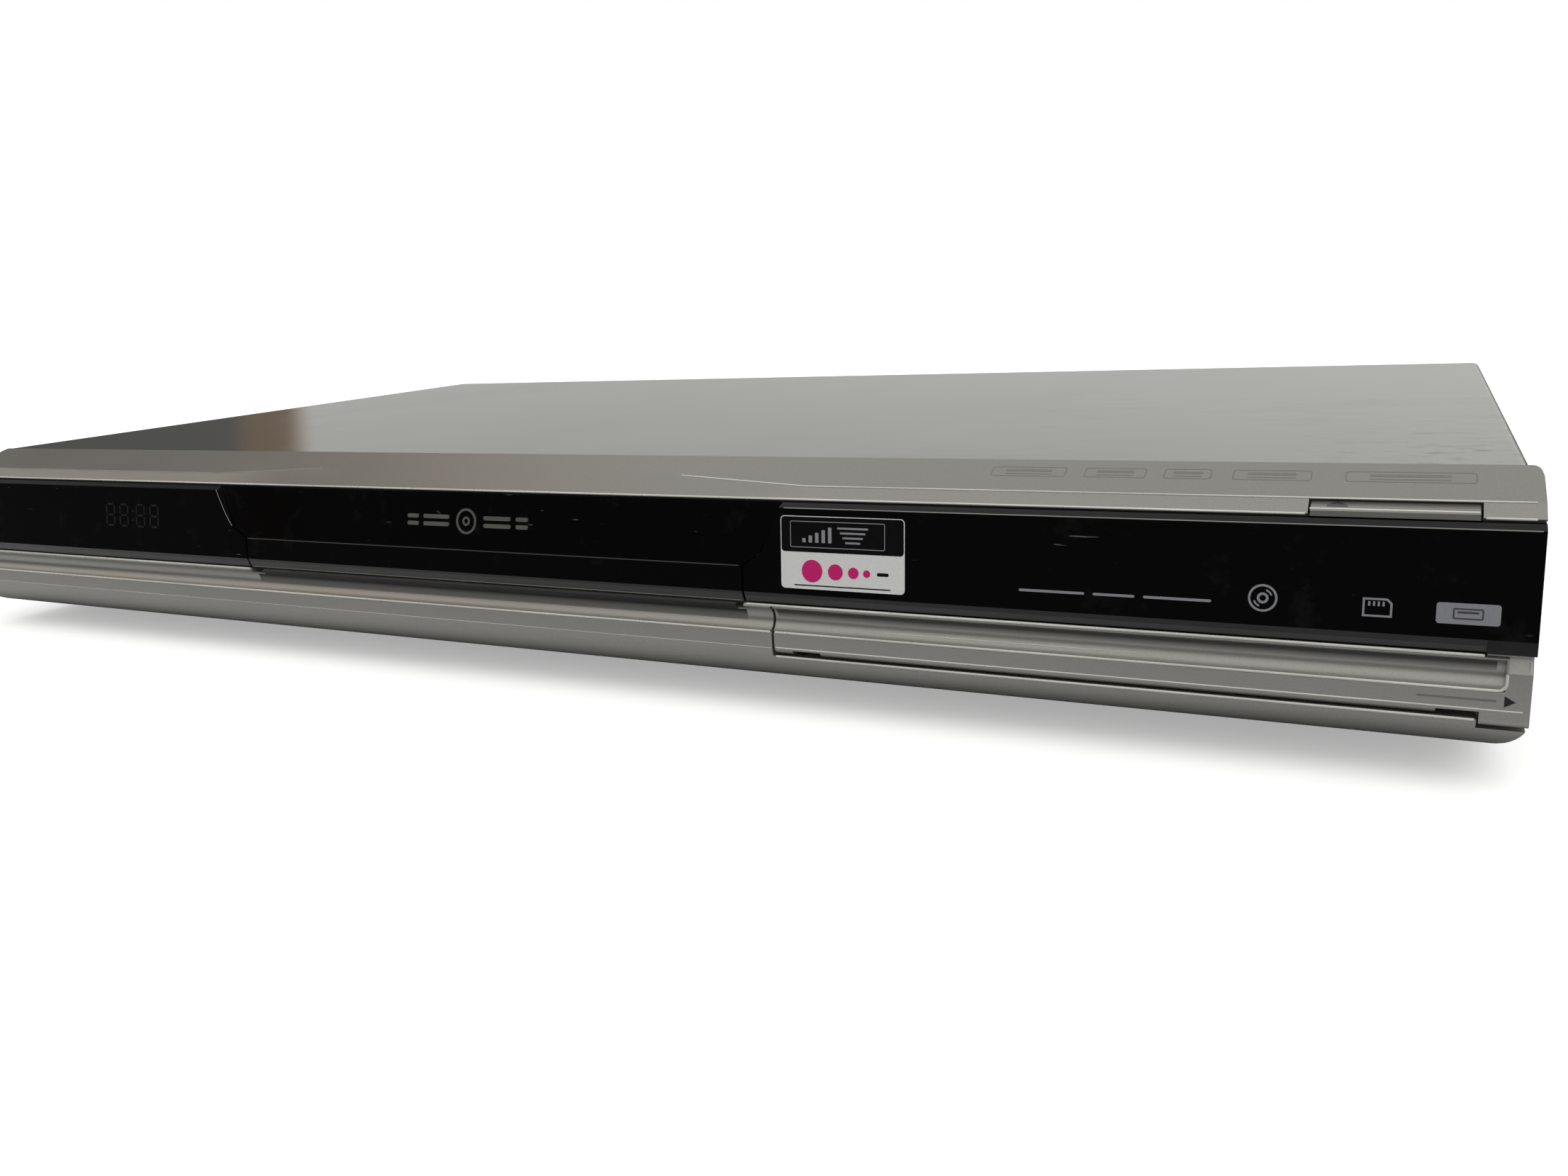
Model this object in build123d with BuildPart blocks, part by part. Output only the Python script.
# A full-width blu-ray disc player, built piece by piece in millimetres.
# X runs to the right as seen from the front, Y to the rear and Z up.
# The origin is under the middle of the whole object, on the surface that it stands on.
import os
from math import acos, atan2, cos, pi, radians, sin, sqrt, tan

from build123d import *

os.makedirs("parts", exist_ok=True)

# Overall size
WIDTH = 430.0
HEIGHT = 55.0
DEPTH = 247.0
JACK_REACH = 10.4
FOOT_HEIGHT = 7.2
COVER_INSET = 1.6
SHEET = 0.8
SHEET_GAP = 0.2
RUN_GAP = 0.3
PIN_FIT = 0.05
BEND = 1.2

# Front moulding, measured back from the foremost plane and up from the floor
SEAM_BACK = 17.9
LIP_BACK = 3.4
LIP_DROP = 6.8
CREASE_BACK = 6.5
CREASE_RISE = 0.8
CREASE_MID_BACK = 11.3
CREASE_MID_RISE = 0.1
BAND_WALL = 2.0
TONGUE = 3.4
BACK_PLATE = 2.0
TOP_CORNER = 1.6
LOW_CORNER = 8.0
END_WALL = 2.2
CREASE_SWEEP = 44.0
CREASE_PAST_DOOR = 4.1

# Black windows and the tray door between them
WINDOW_TOP_BACK = 1.7
WINDOW_TOP_DROP = 1.6
WINDOW_EDGE_DROP = 0.7
WINDOW_BEVEL_Z = 28.1
WINDOW_BEVEL_IN = 0.9
WINDOW_LOW_Z = 25.7
WINDOW_SEAT_BACK = 5.0
BEVEL_END = 7.4
DOOR_GAP = 0.5
DOOR_TOP_HALF = 86.4
DOOR_MID_HALF = 81.0
DOOR_LOW_HALF = 76.7
DOOR_MID_Z = 36.5
DOOR_CREASE_Z = 33.7
DOOR_TOP_RECESS = 1.5

# Silver lower band, its channel and the flap
BAND_TOP_Z = 25.3
CHANNEL_TOP_Z = 24.7
CHANNEL_LOW_Z = 19.6
CHANNEL_DEPTH = 1.5
GROOVE = 0.4
FACE_LOW_Z = 15.6
BAND_FACE_BACK = 0.3
BELLY_RUN = 9.2
LOW_WALL = 2.0
FLAP_PAST_DOOR = 7.1
FLAP_GAP = 0.6
FLAP_THICK = 3.3
FLAP_PIVOT_IN = 2.0
FLAP_PIVOT_Z = 16.0
LEDGE_GAP = 0.3
EAR_WIDTH = 7.5
EAR_LOW_Z = 12.7
PIT_BACK = 6.3
PANEL_WALL = 1.8
KNUCKLE = 6.0
KNUCKLE_RADIUS = 1.35
KNUCKLE_INSET = 4.5
HINGE_PIN = 0.6
HINGE_PIN_LENGTH = 10.0

# Keys on the lip and behind the flap
KEY_GAP = 0.4
OPEN_KEY_IN = 22.8
OPEN_KEY_WIDTH = 26.4
POWER_KEY_IN = 5.7
POWER_KEY_WIDTH = 7.0
KEY_TRAVEL = 0.8
KEY_STEM = 4.0
SMALL_KEY_WIDTH = 9.0
SMALL_KEY_HEIGHT = 5.0
SMALL_KEY_PROUD = 1.3
SMALL_KEY_TRAVEL = 0.6
STOP_KEY_IN = 21.5
SMALL_KEY_PITCH = 14.0
SMALL_KEY_Z = 20.0

# Disc drive
DRIVE_X = -11.3
FRAME_ROOM = 8.5
FRAME_WALL = 2.4
FRAME_FRONT_BACK = 20.5
FRAME_REAR_SPACE = 28.1
FRAME_LOW_Z = 10.0
FRAME_TOP_Z = 43.6
TRAY_HALF = 65.5
TRAY_FRONT_BACK = 10.0
TRAY_REAR_IN = 20.0
TRAY_LOW_Z = 31.5
TRAY_TOP_Z = 40.5
TRAY_FLOOR_Z = 35.5
TRAY_SKIRT = 3.0
DISC_BORDER = 5.5
DISC_RADIUS = 60.0
DISC_PLAY = 1.0
DISC_SEAT_Z = 37.5
SMALL_DISC_RADIUS = 41.0
SMALL_DISC_SEAT_Z = 36.9
WINDOW_HALF = 19.0
TRAY_TRAVEL = 138.0

# Gear train under the tray
MODULE = 1.0
ADDENDUM = 0.8
DEDENDUM = 1.1
PRESSURE = radians(20)
BACKLASH = 0.2
FLANK_STEPS = 2
TRAY_GEAR_TEETH = 20
PINION_TEETH = 14
GEAR_BACK = 13.0
RACK_OFFSET = -46.0
RACK_BAR = 3.0
GEAR_POST = 1.5
DECK_TOP_Z = 22.0
DECK_THICK = 2.0
PULLEY_RADIUS = 10.0
PULLEY_THICK = 3.4
MOTOR_PULLEY_RADIUS = 2.5
BELT = 1.2
MOTOR_SPAN = 28.0
MOTOR_RADIUS = 10.6

# Tilting mechanism that carries the turntable and the pickup
CAM_SPACE = 18.0
PIVOT_Z = 24.0
TILT = 5.2
DECK_HALF = 40.0
DECK_LENGTH = 110.0
DECK_PLATE = 2.0
PIVOT_PIN = 2.0
SPINDLE_RADIUS = 12.5
TABLE_RADIUS = 15.0
TABLE_Z = 39.6
CONE_RADIUS = 7.4
CONE_HEIGHT = 2.2
SHAFT_RADIUS = 1.2
ROD_X = 26.0
ROD_RADIUS = 1.5
ROD_Z = 6.1
SCREW_X = 34.0
SLED_TRAVEL = 34.0
SLED_FRONT = 9.5
SLED_BACK = 18.0
SLED_HALF = 22.0
LENS_INNER = 24.0
CAM_PIN = 1.5
CAM_PIN_X = 18.0
CAM_TRAVEL = 26.0
CAM_PLATE = 3.0
CAM_SLOT_GAP = 0.3

# Clamp above the disc
BRIDGE_THICK = 1.5
CLAMP_RADIUS = 15.0
CLAMP_NECK = 12.0
CLAMP_LOW_Z = 41.0

# Rear sockets: measured in from the right wall or the left wall, or from the middle of the drive
INLET_IN = 26.4
INLET_Z = 24.0
FAN_IN = 94.4
FAN_LESS = 17.0
FAN_DROP = 2.8
FAN_DEPTH = 10.0
LAN_SHIFT = 37.3
HDMI_SHIFT = -4.7
OPTICAL_SHIFT = -42.7
JACK_BLOCK_IN = 70.4
JACK_PITCH = 14.0
JACK_RADIUS = 4.15
JACK_FREE = 9.2
JACK_BASE = 5.4
BOARD = 1.6
BOARD_Z = 14.0

# Values that follow from the sizes above
FRONT_Y = -DEPTH / 2
REAR_Y = DEPTH / 2 - JACK_REACH + SHEET
SEAM_Y = FRONT_Y + SEAM_BACK
LIP_Y = FRONT_Y + LIP_BACK
LIP_Z = HEIGHT - LIP_DROP
WINDOW_TOP_Z = LIP_Z - WINDOW_TOP_DROP
WINDOW_EDGE_Z = LIP_Z - WINDOW_EDGE_DROP
COVER_HALF = WIDTH / 2 - COVER_INSET
INNER_HALF = COVER_HALF - SHEET - SHEET_GAP
CHASSIS_FRONT_Y = SEAM_Y + 1.5
PANEL_Y = REAR_Y - SHEET - SHEET_GAP
PANEL_IN_Y = PANEL_Y - SHEET
BASE_TOP_Z = FOOT_HEIGHT + SHEET
SEAT_Y = FRONT_Y + WINDOW_SEAT_BACK
PLATE_REAR_Y = SEAT_Y + BACK_PLATE
BAND_Y = FRONT_Y + BAND_FACE_BACK
FLAP_LEFT_X = DRIVE_X + DOOR_LOW_HALF + FLAP_PAST_DOOR
FLAP_RIGHT_X = WIDTH / 2 - RUN_GAP
OPEN_KEY_X = WIDTH / 2 - OPEN_KEY_IN
POWER_KEY_X = POWER_KEY_IN - WIDTH / 2
STOP_KEY_X = FLAP_LEFT_X + STOP_KEY_IN
PLAY_KEY_X = STOP_KEY_X + SMALL_KEY_PITCH
PIVOT_PIN_Y = BAND_Y + FLAP_PIVOT_IN
LEDGE_Z = FLAP_PIVOT_Z - FLAP_PIVOT_IN - LEDGE_GAP
PIT_Y = FRONT_Y + PIT_BACK
FRAME_HALF = TRAY_HALF + FRAME_ROOM
FRAME_FRONT_Y = FRONT_Y + FRAME_FRONT_BACK
FRAME_REAR_Y = PANEL_IN_Y - FRAME_REAR_SPACE
TRAY_FRONT_Y = FRONT_Y + TRAY_FRONT_BACK
TRAY_REAR_Y = FRAME_REAR_Y - TRAY_REAR_IN
DISC_Y = TRAY_FRONT_Y + DISC_RADIUS + DISC_BORDER
GEAR_Y = FRAME_FRONT_Y + GEAR_BACK
PIVOT_Y = GEAR_Y + CAM_SPACE + DECK_LENGTH
INLET_X = INNER_HALF - INLET_IN
FAN_X = INNER_HALF - FAN_IN
FAN_SIZE = HEIGHT - FAN_LESS
FAN_Z = HEIGHT - FAN_DROP - FAN_SIZE / 2
LAN_X = DRIVE_X + LAN_SHIFT
HDMI_X = DRIVE_X + HDMI_SHIFT
OPTICAL_X = DRIVE_X + OPTICAL_SHIFT
JACK_BLOCK_X = JACK_BLOCK_IN - INNER_HALF
TRAVERSE = Plane(
    origin=(DRIVE_X, PIVOT_Y, PIVOT_Z),
    x_dir=(1, 0, 0),
    z_dir=(0, -sin(radians(TILT)), cos(radians(TILT))),
)


def block(x, y, z, mode=Mode.ADD):
    # One box between the given pairs of limits
    with Locations(((x[0] + x[1]) / 2, (y[0] + y[1]) / 2, (z[0] + z[1]) / 2)):
        Box(x[1] - x[0], y[1] - y[0], z[1] - z[0], mode=mode)


def grow(span, amount):
    # The same limits, wider at both ends
    return (span[0] - amount, span[1] + amount)


def share_of(span, share):
    # A place at the given share of the way along a pair of limits
    return span[0] + share * (span[1] - span[0])


def mirror_span(side, near, far):
    # Limits along X on the right, or mirrored to the left when the side is -1
    return (near, far) if side > 0 else (-far, -near)


def post(x, y, z, radius, mode=Mode.ADD):
    # One upright round post between two heights
    with Locations((x, y, z[0])):
        Cylinder(radius, z[1] - z[0], align=(Align.CENTER, Align.CENTER, Align.MIN), mode=mode)


def hex_post(x, y, z, radius):
    # One upright six-sided spacer between two heights
    with BuildSketch(Plane.XY.offset(z[0])) as sketch:
        with Locations((x, y)):
            RegularPolygon(radius, 6)
    extrude(sketch.sketch, amount=z[1] - z[0])


def hex_bar_y(x, y, z, radius, mode=Mode.ADD):
    # One six-sided bar along Y
    with BuildSketch(Plane.XZ.offset(-y[0])) as sketch:
        with Locations((x, z)):
            RegularPolygon(radius, 6)
    extrude(sketch.sketch, amount=y[1] - y[0], dir=(0, 1, 0), mode=mode)


def bar_x(x, y, z, radius, mode=Mode.ADD):
    # One round bar along X
    with Locations(Location((x[0], y, z), (0, 90, 0))):
        Cylinder(radius, x[1] - x[0], align=(Align.CENTER, Align.CENTER, Align.MIN), mode=mode)


def bar_y(x, y, z, radius, mode=Mode.ADD):
    # One round bar along Y
    with Locations(Location((x, y[0], z), (-90, 0, 0))):
        Cylinder(radius, y[1] - y[0], align=(Align.CENTER, Align.CENTER, Align.MIN), mode=mode)


def band_section(x, back, rise):
    # Section of the top band: seam, crease, lip and the tongue under the cover
    slope = (HEIGHT - LIP_Z) / (SEAM_BACK - LIP_BACK)
    crease = (FRONT_Y + back, LIP_Z + slope * (back - LIP_BACK) + rise)
    tongue_top = HEIGHT - SHEET - SHEET_GAP / 2
    with BuildSketch(Plane.YZ.offset(x)) as sketch:
        with BuildLine():
            Polyline(
                (SEAM_Y, HEIGHT),
                crease,
                (LIP_Y, LIP_Z),
                (LIP_Y + RUN_GAP, LIP_Z - RUN_GAP),
                (PLATE_REAR_Y, LIP_Z - RUN_GAP),
                (SEAM_Y, HEIGHT - BAND_WALL),
                (SEAM_Y + TONGUE, HEIGHT - BAND_WALL),
                (SEAM_Y + TONGUE, tongue_top),
                (SEAM_Y, tongue_top),
                close=True,
            )
        make_face()
    return sketch.sketch


def low_band_section(x):
    # Section of the silver lower band: channel, groove, flat face and belly
    with BuildSketch(Plane.YZ.offset(x)) as sketch:
        with BuildLine():
            Polyline((SEAT_Y, BAND_TOP_Z), (BAND_Y + GROOVE, BAND_TOP_Z), (BAND_Y, BAND_TOP_Z - GROOVE),
                     (BAND_Y, CHANNEL_TOP_Z))
            ThreePointArc(
                (BAND_Y, CHANNEL_TOP_Z),
                (BAND_Y + CHANNEL_DEPTH, (CHANNEL_TOP_Z + CHANNEL_LOW_Z) / 2 + GROOVE),
                (BAND_Y, CHANNEL_LOW_Z),
            )
            Polyline(
                (BAND_Y, CHANNEL_LOW_Z),
                (BAND_Y + GROOVE, CHANNEL_LOW_Z - GROOVE),
                (BAND_Y, CHANNEL_LOW_Z - 2 * GROOVE),
                (BAND_Y, FACE_LOW_Z),
            )
            ThreePointArc(
                (BAND_Y, FACE_LOW_Z),
                belly_point(0.5),
                belly_point(1.0),
            )
            Polyline(
                belly_point(1.0),
                (SEAM_Y, FOOT_HEIGHT),
                (SEAM_Y, FOOT_HEIGHT + LOW_WALL),
                (BAND_Y + BELLY_RUN, FOOT_HEIGHT + LOW_WALL),
                (SEAT_Y, FACE_LOW_Z - LOW_WALL),
                (SEAT_Y, BAND_TOP_Z),
            )
        make_face()
    return sketch.sketch


def belly_point(share):
    # A point of the belly's curve, from the flat face (0) to the underside (1)
    drop = FACE_LOW_Z - FOOT_HEIGHT
    angle = share * pi / 2
    return (BAND_Y + BELLY_RUN * (1 - cos(angle)), FACE_LOW_Z - drop * sin(angle))


def window_section(x, bevel):
    # Section of a black window: shoulder, leaning face and, where asked, the bottom bevel
    low = [(FRONT_Y, WINDOW_BEVEL_Z), (FRONT_Y + WINDOW_BEVEL_IN, WINDOW_LOW_Z)]
    if not bevel:
        low = [(FRONT_Y, WINDOW_BEVEL_Z), (FRONT_Y, WINDOW_LOW_Z)]
    with BuildSketch(Plane.YZ.offset(x)) as sketch:
        with BuildLine():
            Polyline(
                (SEAT_Y, WINDOW_EDGE_Z),
                (LIP_Y - RUN_GAP, WINDOW_EDGE_Z),
                (FRONT_Y + WINDOW_TOP_BACK, WINDOW_TOP_Z),
                *low,
                (SEAT_Y, WINDOW_LOW_Z),
                close=True,
            )
        make_face()
    return sketch.sketch


def door_outline(y, grow):
    # Front outline of the tray door, widened by the given amount
    right = [
        (DRIVE_X + DOOR_LOW_HALF + grow, WINDOW_LOW_Z - 2 * grow),
        (DRIVE_X + DOOR_LOW_HALF + grow, DOOR_CREASE_Z),
        (DRIVE_X + DOOR_MID_HALF + grow, DOOR_MID_Z),
        (DRIVE_X + DOOR_TOP_HALF + grow, WINDOW_EDGE_Z + 2 * grow),
    ]
    left = [(2 * DRIVE_X - x, z) for x, z in reversed(right)]
    with BuildSketch(Plane.XZ.offset(-y)) as sketch:
        with BuildLine():
            Polyline(*right, *left, close=True)
        make_face()
    return sketch.sketch


def gear_points(teeth, turn):
    # Outline of a spur gear with involute flanks; one tooth is centred on the given angle
    pitch = MODULE * teeth / 2
    base = pitch * cos(PRESSURE)
    root = pitch - DEDENDUM * MODULE
    tip = pitch + ADDENDUM * MODULE
    half_at_pitch = pi / (2 * teeth) - BACKLASH / (2 * pitch)
    involute = tan(PRESSURE) - PRESSURE
    flank = []
    for step in range(FLANK_STEPS + 1):
        radius = max(base, root) + (tip - max(base, root)) * step / FLANK_STEPS
        at_radius = acos(min(1.0, base / radius))
        flank.append((radius, half_at_pitch + involute - (tan(at_radius) - at_radius)))
    flank = [(root, flank[0][1])] + flank if root < base else flank
    points = []
    for tooth in range(teeth):
        middle = turn + 2 * pi * tooth / teeth
        for radius, half in flank:
            points.append((radius * cos(middle - half), radius * sin(middle - half)))
        for radius, half in reversed(flank):
            points.append((radius * cos(middle + half), radius * sin(middle + half)))
    return points


def gear_face(x, y, z, teeth, turn):
    # The gear's outline as a face, lying flat at the given place
    with BuildSketch(Plane.XY.offset(z)) as sketch:
        with BuildLine():
            Polyline(*[(x + px, y + py) for px, py in gear_points(teeth, turn)], close=True)
        make_face()
    return sketch.sketch


def key_section(x, back_y):
    # Section of a lip key: sunk top facet, short front face and flat underside
    top_z = LIP_Z + 1.8
    ridge_z = LIP_Z + 0.9
    low_z = WINDOW_EDGE_Z + RUN_GAP
    with BuildSketch(Plane.YZ.offset(x)) as sketch:
        with BuildLine():
            Polyline(
                (back_y, top_z),
                (LIP_Y + 0.7, ridge_z),
                (LIP_Y - 0.2, ridge_z - 0.3),
                (LIP_Y - 0.2, low_z),
                (back_y, low_z),
                close=True,
            )
        make_face()
    return sketch.sketch


def stem_half(key_width):
    # Half width of the stem behind a lip key
    return min(KEY_STEM, key_width / 2 - 1.5)


def lip_key(key_x, key_width):
    # One lip key with the stem that reaches its switch
    extrude(key_section(key_x - key_width / 2, KEY_BACK_Y), amount=key_width, dir=(1, 0, 0))
    stem = stem_half(key_width)
    block((key_x - stem, key_x + stem), (KEY_BACK_Y, KEY_SWITCH_Y), (LIP_Z, KEY_STEM_TOP))


def flap_section(x, channel):
    # Section of the flap: face, optional channel and the round foot about the hinge
    inner = BAND_Y + FLAP_THICK
    foot = FLAP_PIVOT_IN
    rise = sqrt(foot**2 - (FLAP_THICK - foot) ** 2)
    with BuildSketch(Plane.YZ.offset(x)) as sketch:
        with BuildLine():
            Polyline(
                (inner, FLAP_PIVOT_Z - rise),
                (inner, BAND_TOP_Z - GROOVE / 2),
                (BAND_Y + GROOVE, BAND_TOP_Z - GROOVE / 2),
                (BAND_Y, BAND_TOP_Z - GROOVE),
                (BAND_Y, CHANNEL_TOP_Z),
            )
            if channel:
                ThreePointArc(
                    (BAND_Y, CHANNEL_TOP_Z),
                    (BAND_Y + CHANNEL_DEPTH, (CHANNEL_TOP_Z + CHANNEL_LOW_Z) / 2 + GROOVE),
                    (BAND_Y, CHANNEL_LOW_Z),
                )
                Polyline(
                    (BAND_Y, CHANNEL_LOW_Z),
                    (BAND_Y + GROOVE, CHANNEL_LOW_Z - GROOVE),
                    (BAND_Y, CHANNEL_LOW_Z - 2 * GROOVE),
                    (BAND_Y, FLAP_PIVOT_Z),
                )
            else:
                Line((BAND_Y, CHANNEL_TOP_Z), (BAND_Y, FLAP_PIVOT_Z))
            ThreePointArc(
                (BAND_Y, FLAP_PIVOT_Z),
                (PIVOT_PIN_Y - foot * cos(pi / 4), FLAP_PIVOT_Z - foot * sin(pi / 4)),
                (PIVOT_PIN_Y, FLAP_PIVOT_Z - foot),
            )
            half_turn = atan2(rise, FLAP_THICK - foot) / 2 + pi / 4
            ThreePointArc(
                (PIVOT_PIN_Y, FLAP_PIVOT_Z - foot),
                (PIVOT_PIN_Y + foot * cos(half_turn), FLAP_PIVOT_Z - foot * sin(half_turn)),
                (inner, FLAP_PIVOT_Z - rise),
            )
        make_face()
    return sketch.sketch


def knuckle_places():
    # The two hinge knuckles, near the ends of the flap
    left = FLAP_LEFT_X + KNUCKLE_INSET + KNUCKLE / 2
    right = FLAP_RIGHT_X - EAR_WIDTH - RUN_GAP - KNUCKLE / 2
    return (left, right)


# Front moulding: top band, lower band, end walls, back plate and the pit behind the flap
HALF = WIDTH / 2
CREASE_FULL = DOOR_TOP_HALF + CREASE_PAST_DOOR
CREASE_MID = CREASE_FULL - CREASE_SWEEP
END_SHAPE = (CREASE_BACK, CREASE_RISE)
MID_SHAPE = (CREASE_MID_BACK, CREASE_MID_RISE)
FLAP_SIDE_X = FLAP_LEFT_X - FLAP_GAP
EAR_FLOOR_Z = EAR_LOW_Z - 0.7
EAR_SWEEP = 3.9
PLATE_LOW_Z = BAND_TOP_Z + 0.5
USB_IN = 29.0
USB_X = HALF - USB_IN
USB_SIZE = (13.2, 5.8)
SD_PITCH = 34.0
SD_X = USB_X - SD_PITCH
SD_SIZE = (25.0, 3.4)
CARD_BOARD_TOP = 17.1
DISPLAY_HALF = 25.0
DISPLAY_TALL = 12.5
DISPLAY_EDGE = 4.0
DISPLAY_DROP = 3.0
DISPLAY_MIDDLE = share_of((-HALF, DRIVE_X - DOOR_TOP_HALF), 0.665)
DISPLAY_X = (DISPLAY_MIDDLE - DISPLAY_HALF, DISPLAY_MIDDLE + DISPLAY_HALF)
DISPLAY_Z = (WINDOW_EDGE_Z - DISPLAY_DROP - DISPLAY_TALL, WINDOW_EDGE_Z - DISPLAY_DROP)
KEYS = ((OPEN_KEY_X, OPEN_KEY_WIDTH), (POWER_KEY_X, POWER_KEY_WIDTH))
KEY_STEM_TOP = LIP_Z + 1.2
KEY_BACK_Y = LIP_Y + 3.9
KEY_SWITCH_Y = KEY_BACK_Y + 2.8
KEY_FACE_END_Y = FRONT_Y + CREASE_BACK + 0.1

with BuildPart() as front_fascia:
    extrude(low_band_section(FLAP_SIDE_X), amount=HALF - FLAP_SIDE_X, dir=(1, 0, 0))
    block((FLAP_SIDE_X, HALF + 1), (FRONT_Y - 1, PIT_Y), (LEDGE_Z, HEIGHT), Mode.SUBTRACT)
    block(
        (FLAP_SIDE_X - PANEL_WALL, HALF),
        (PIT_Y, PIT_Y + PANEL_WALL),
        (FOOT_HEIGHT + LOW_WALL / 2, PLATE_LOW_Z + PANEL_WALL),
    )
    block((FLAP_SIDE_X, HALF), (SEAT_Y - 1, PIT_Y), (EAR_FLOOR_Z - LOW_WALL, LEDGE_Z))
    block((FLAP_SIDE_X, HALF), (SEAT_Y, PIT_Y), (PLATE_LOW_Z, PLATE_LOW_Z + PANEL_WALL))
    ear_left = FLAP_RIGHT_X - EAR_WIDTH - RUN_GAP
    block(
        (ear_left, HALF + 1),
        (FRONT_Y - 1, PIT_Y),
        (EAR_FLOOR_Z, FLAP_PIVOT_Z + EAR_SWEEP),
        Mode.SUBTRACT,
    )
    extrude(low_band_section(-HALF), amount=FLAP_SIDE_X + HALF, dir=(1, 0, 0))
    block(
        (FLAP_SIDE_X - PANEL_WALL, FLAP_SIDE_X),
        (SEAT_Y - 1, PIT_Y + 0.5),
        (FOOT_HEIGHT + LOW_WALL, BAND_TOP_Z),
    )
    # The dark gap under the tray door
    block(
        (DRIVE_X - DOOR_LOW_HALF, DRIVE_X + DOOR_LOW_HALF),
        (FRONT_Y - 1, SEAT_Y),
        (BAND_TOP_Z - 1.2, HEIGHT / 2 + 1),
        Mode.SUBTRACT,
    )
    # Top band with a crease that sweeps back over the door
    extrude(band_section(-HALF, *END_SHAPE), amount=DRIVE_X - CREASE_FULL + HALF, dir=(1, 0, 0))
    left_outer = band_section(DRIVE_X - CREASE_FULL, *END_SHAPE)
    left_inner = band_section(DRIVE_X - CREASE_MID, *MID_SHAPE)
    right_inner = band_section(DRIVE_X + CREASE_MID, *MID_SHAPE)
    right_outer = band_section(DRIVE_X + CREASE_FULL, *END_SHAPE)
    loft([left_outer, left_inner], ruled=True)
    extrude(left_inner, amount=2 * CREASE_MID, dir=(1, 0, 0))
    loft([right_inner, right_outer], ruled=True)
    extrude(right_outer, amount=HALF - DRIVE_X - CREASE_FULL, dir=(1, 0, 0))
    # Back plate that carries the windows
    block((-HALF, FLAP_SIDE_X), (SEAT_Y, PLATE_REAR_Y), (FACE_LOW_Z, LIP_Z - 0.1))
    block((FLAP_SIDE_X - 1, HALF), (SEAT_Y, PLATE_REAR_Y), (PLATE_LOW_Z, LIP_Z - 0.1))
    # End walls
    for side in (-1, 1):
        with BuildSketch(Plane.YZ.offset(side * (HALF - END_WALL / 2))):
            with BuildLine():
                Polyline(
                    (SEAM_Y, HEIGHT - SHEET),
                    (SEAT_Y, LIP_Z - 0.2),
                    (SEAT_Y, FLAP_PIVOT_Z + EAR_SWEEP),
                    (PIT_Y, FLAP_PIVOT_Z + EAR_SWEEP),
                    (PIT_Y, FOOT_HEIGHT + LOW_WALL / 2),
                    (SEAM_Y, FOOT_HEIGHT + LOW_WALL / 2),
                    close=True,
                )
            make_face()
        extrude(amount=END_WALL / 2, both=True)
    # Tray opening, display opening, key slots and the holes behind the flap
    block(
        (DRIVE_X - TRAY_HALF - 1, DRIVE_X + TRAY_HALF + 1),
        (SEAT_Y - 1, PLATE_REAR_Y + 1),
        (TRAY_LOW_Z - 1, TRAY_TOP_Z + 1),
        Mode.SUBTRACT,
    )
    block(grow(DISPLAY_X, DISPLAY_EDGE), (SEAT_Y - 1, PLATE_REAR_Y + 1), grow(DISPLAY_Z, 1), Mode.SUBTRACT)
    for key_x, key_width in KEYS:
        reach = key_width / 2 + KEY_GAP
        low = WINDOW_EDGE_Z
        span = (key_x - reach, key_x + reach)
        back = KEY_BACK_Y + KEY_TRAVEL + RUN_GAP
        block(span, (FRONT_Y, KEY_FACE_END_Y), (low, HEIGHT), Mode.SUBTRACT)
        block(span, (FRONT_Y, back), (low, LIP_Z + 2.0), Mode.SUBTRACT)
        stem = stem_half(key_width) + RUN_GAP
        span = (key_x - stem, key_x + stem)
        block(span, (back - 1, SEAM_Y), (LIP_Z - 1, KEY_STEM_TOP + RUN_GAP), Mode.SUBTRACT)
    through_panel = (PIT_Y - 1, PIT_Y + PANEL_WALL + 1)
    for key_x in (STOP_KEY_X, PLAY_KEY_X):
        reach = SMALL_KEY_WIDTH / 2 + RUN_GAP
        rise = SMALL_KEY_HEIGHT / 2 + RUN_GAP
        hole_z = (SMALL_KEY_Z - rise, SMALL_KEY_Z + rise)
        block((key_x - reach, key_x + reach), through_panel, hole_z, Mode.SUBTRACT)
    for socket_x, size in ((USB_X, USB_SIZE), (SD_X, SD_SIZE)):
        reach = size[0] / 2 + SHEET_GAP
        hole_z = (CARD_BOARD_TOP - SHEET_GAP, CARD_BOARD_TOP + size[1] + SHEET_GAP)
        block((socket_x - reach, socket_x + reach), through_panel, hole_z, Mode.SUBTRACT)
    # Round corners of the whole front, seen from the front
    with BuildSketch(Plane.XZ.offset(-(SEAM_Y + TONGUE))) as front_outline:
        with Locations((0, (HEIGHT + FOOT_HEIGHT) / 2)):
            Rectangle(WIDTH, HEIGHT - FOOT_HEIGHT)
        fillet(front_outline.vertices().group_by(Axis.Y)[-1], TOP_CORNER)
        fillet(front_outline.vertices().group_by(Axis.Y)[0], LOW_CORNER)
    extrude(amount=SEAM_BACK + TONGUE + 1, mode=Mode.INTERSECT)
    # The tongue and what lies behind the seam stay inside the cover
    for side in (-1, 1):
        limits = mirror_span(side, COVER_HALF - SHEET - BEND, HALF + 1)
        block(limits, (SEAM_Y, SEAM_Y + TONGUE + 1), (0, HEIGHT), Mode.SUBTRACT)
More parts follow.
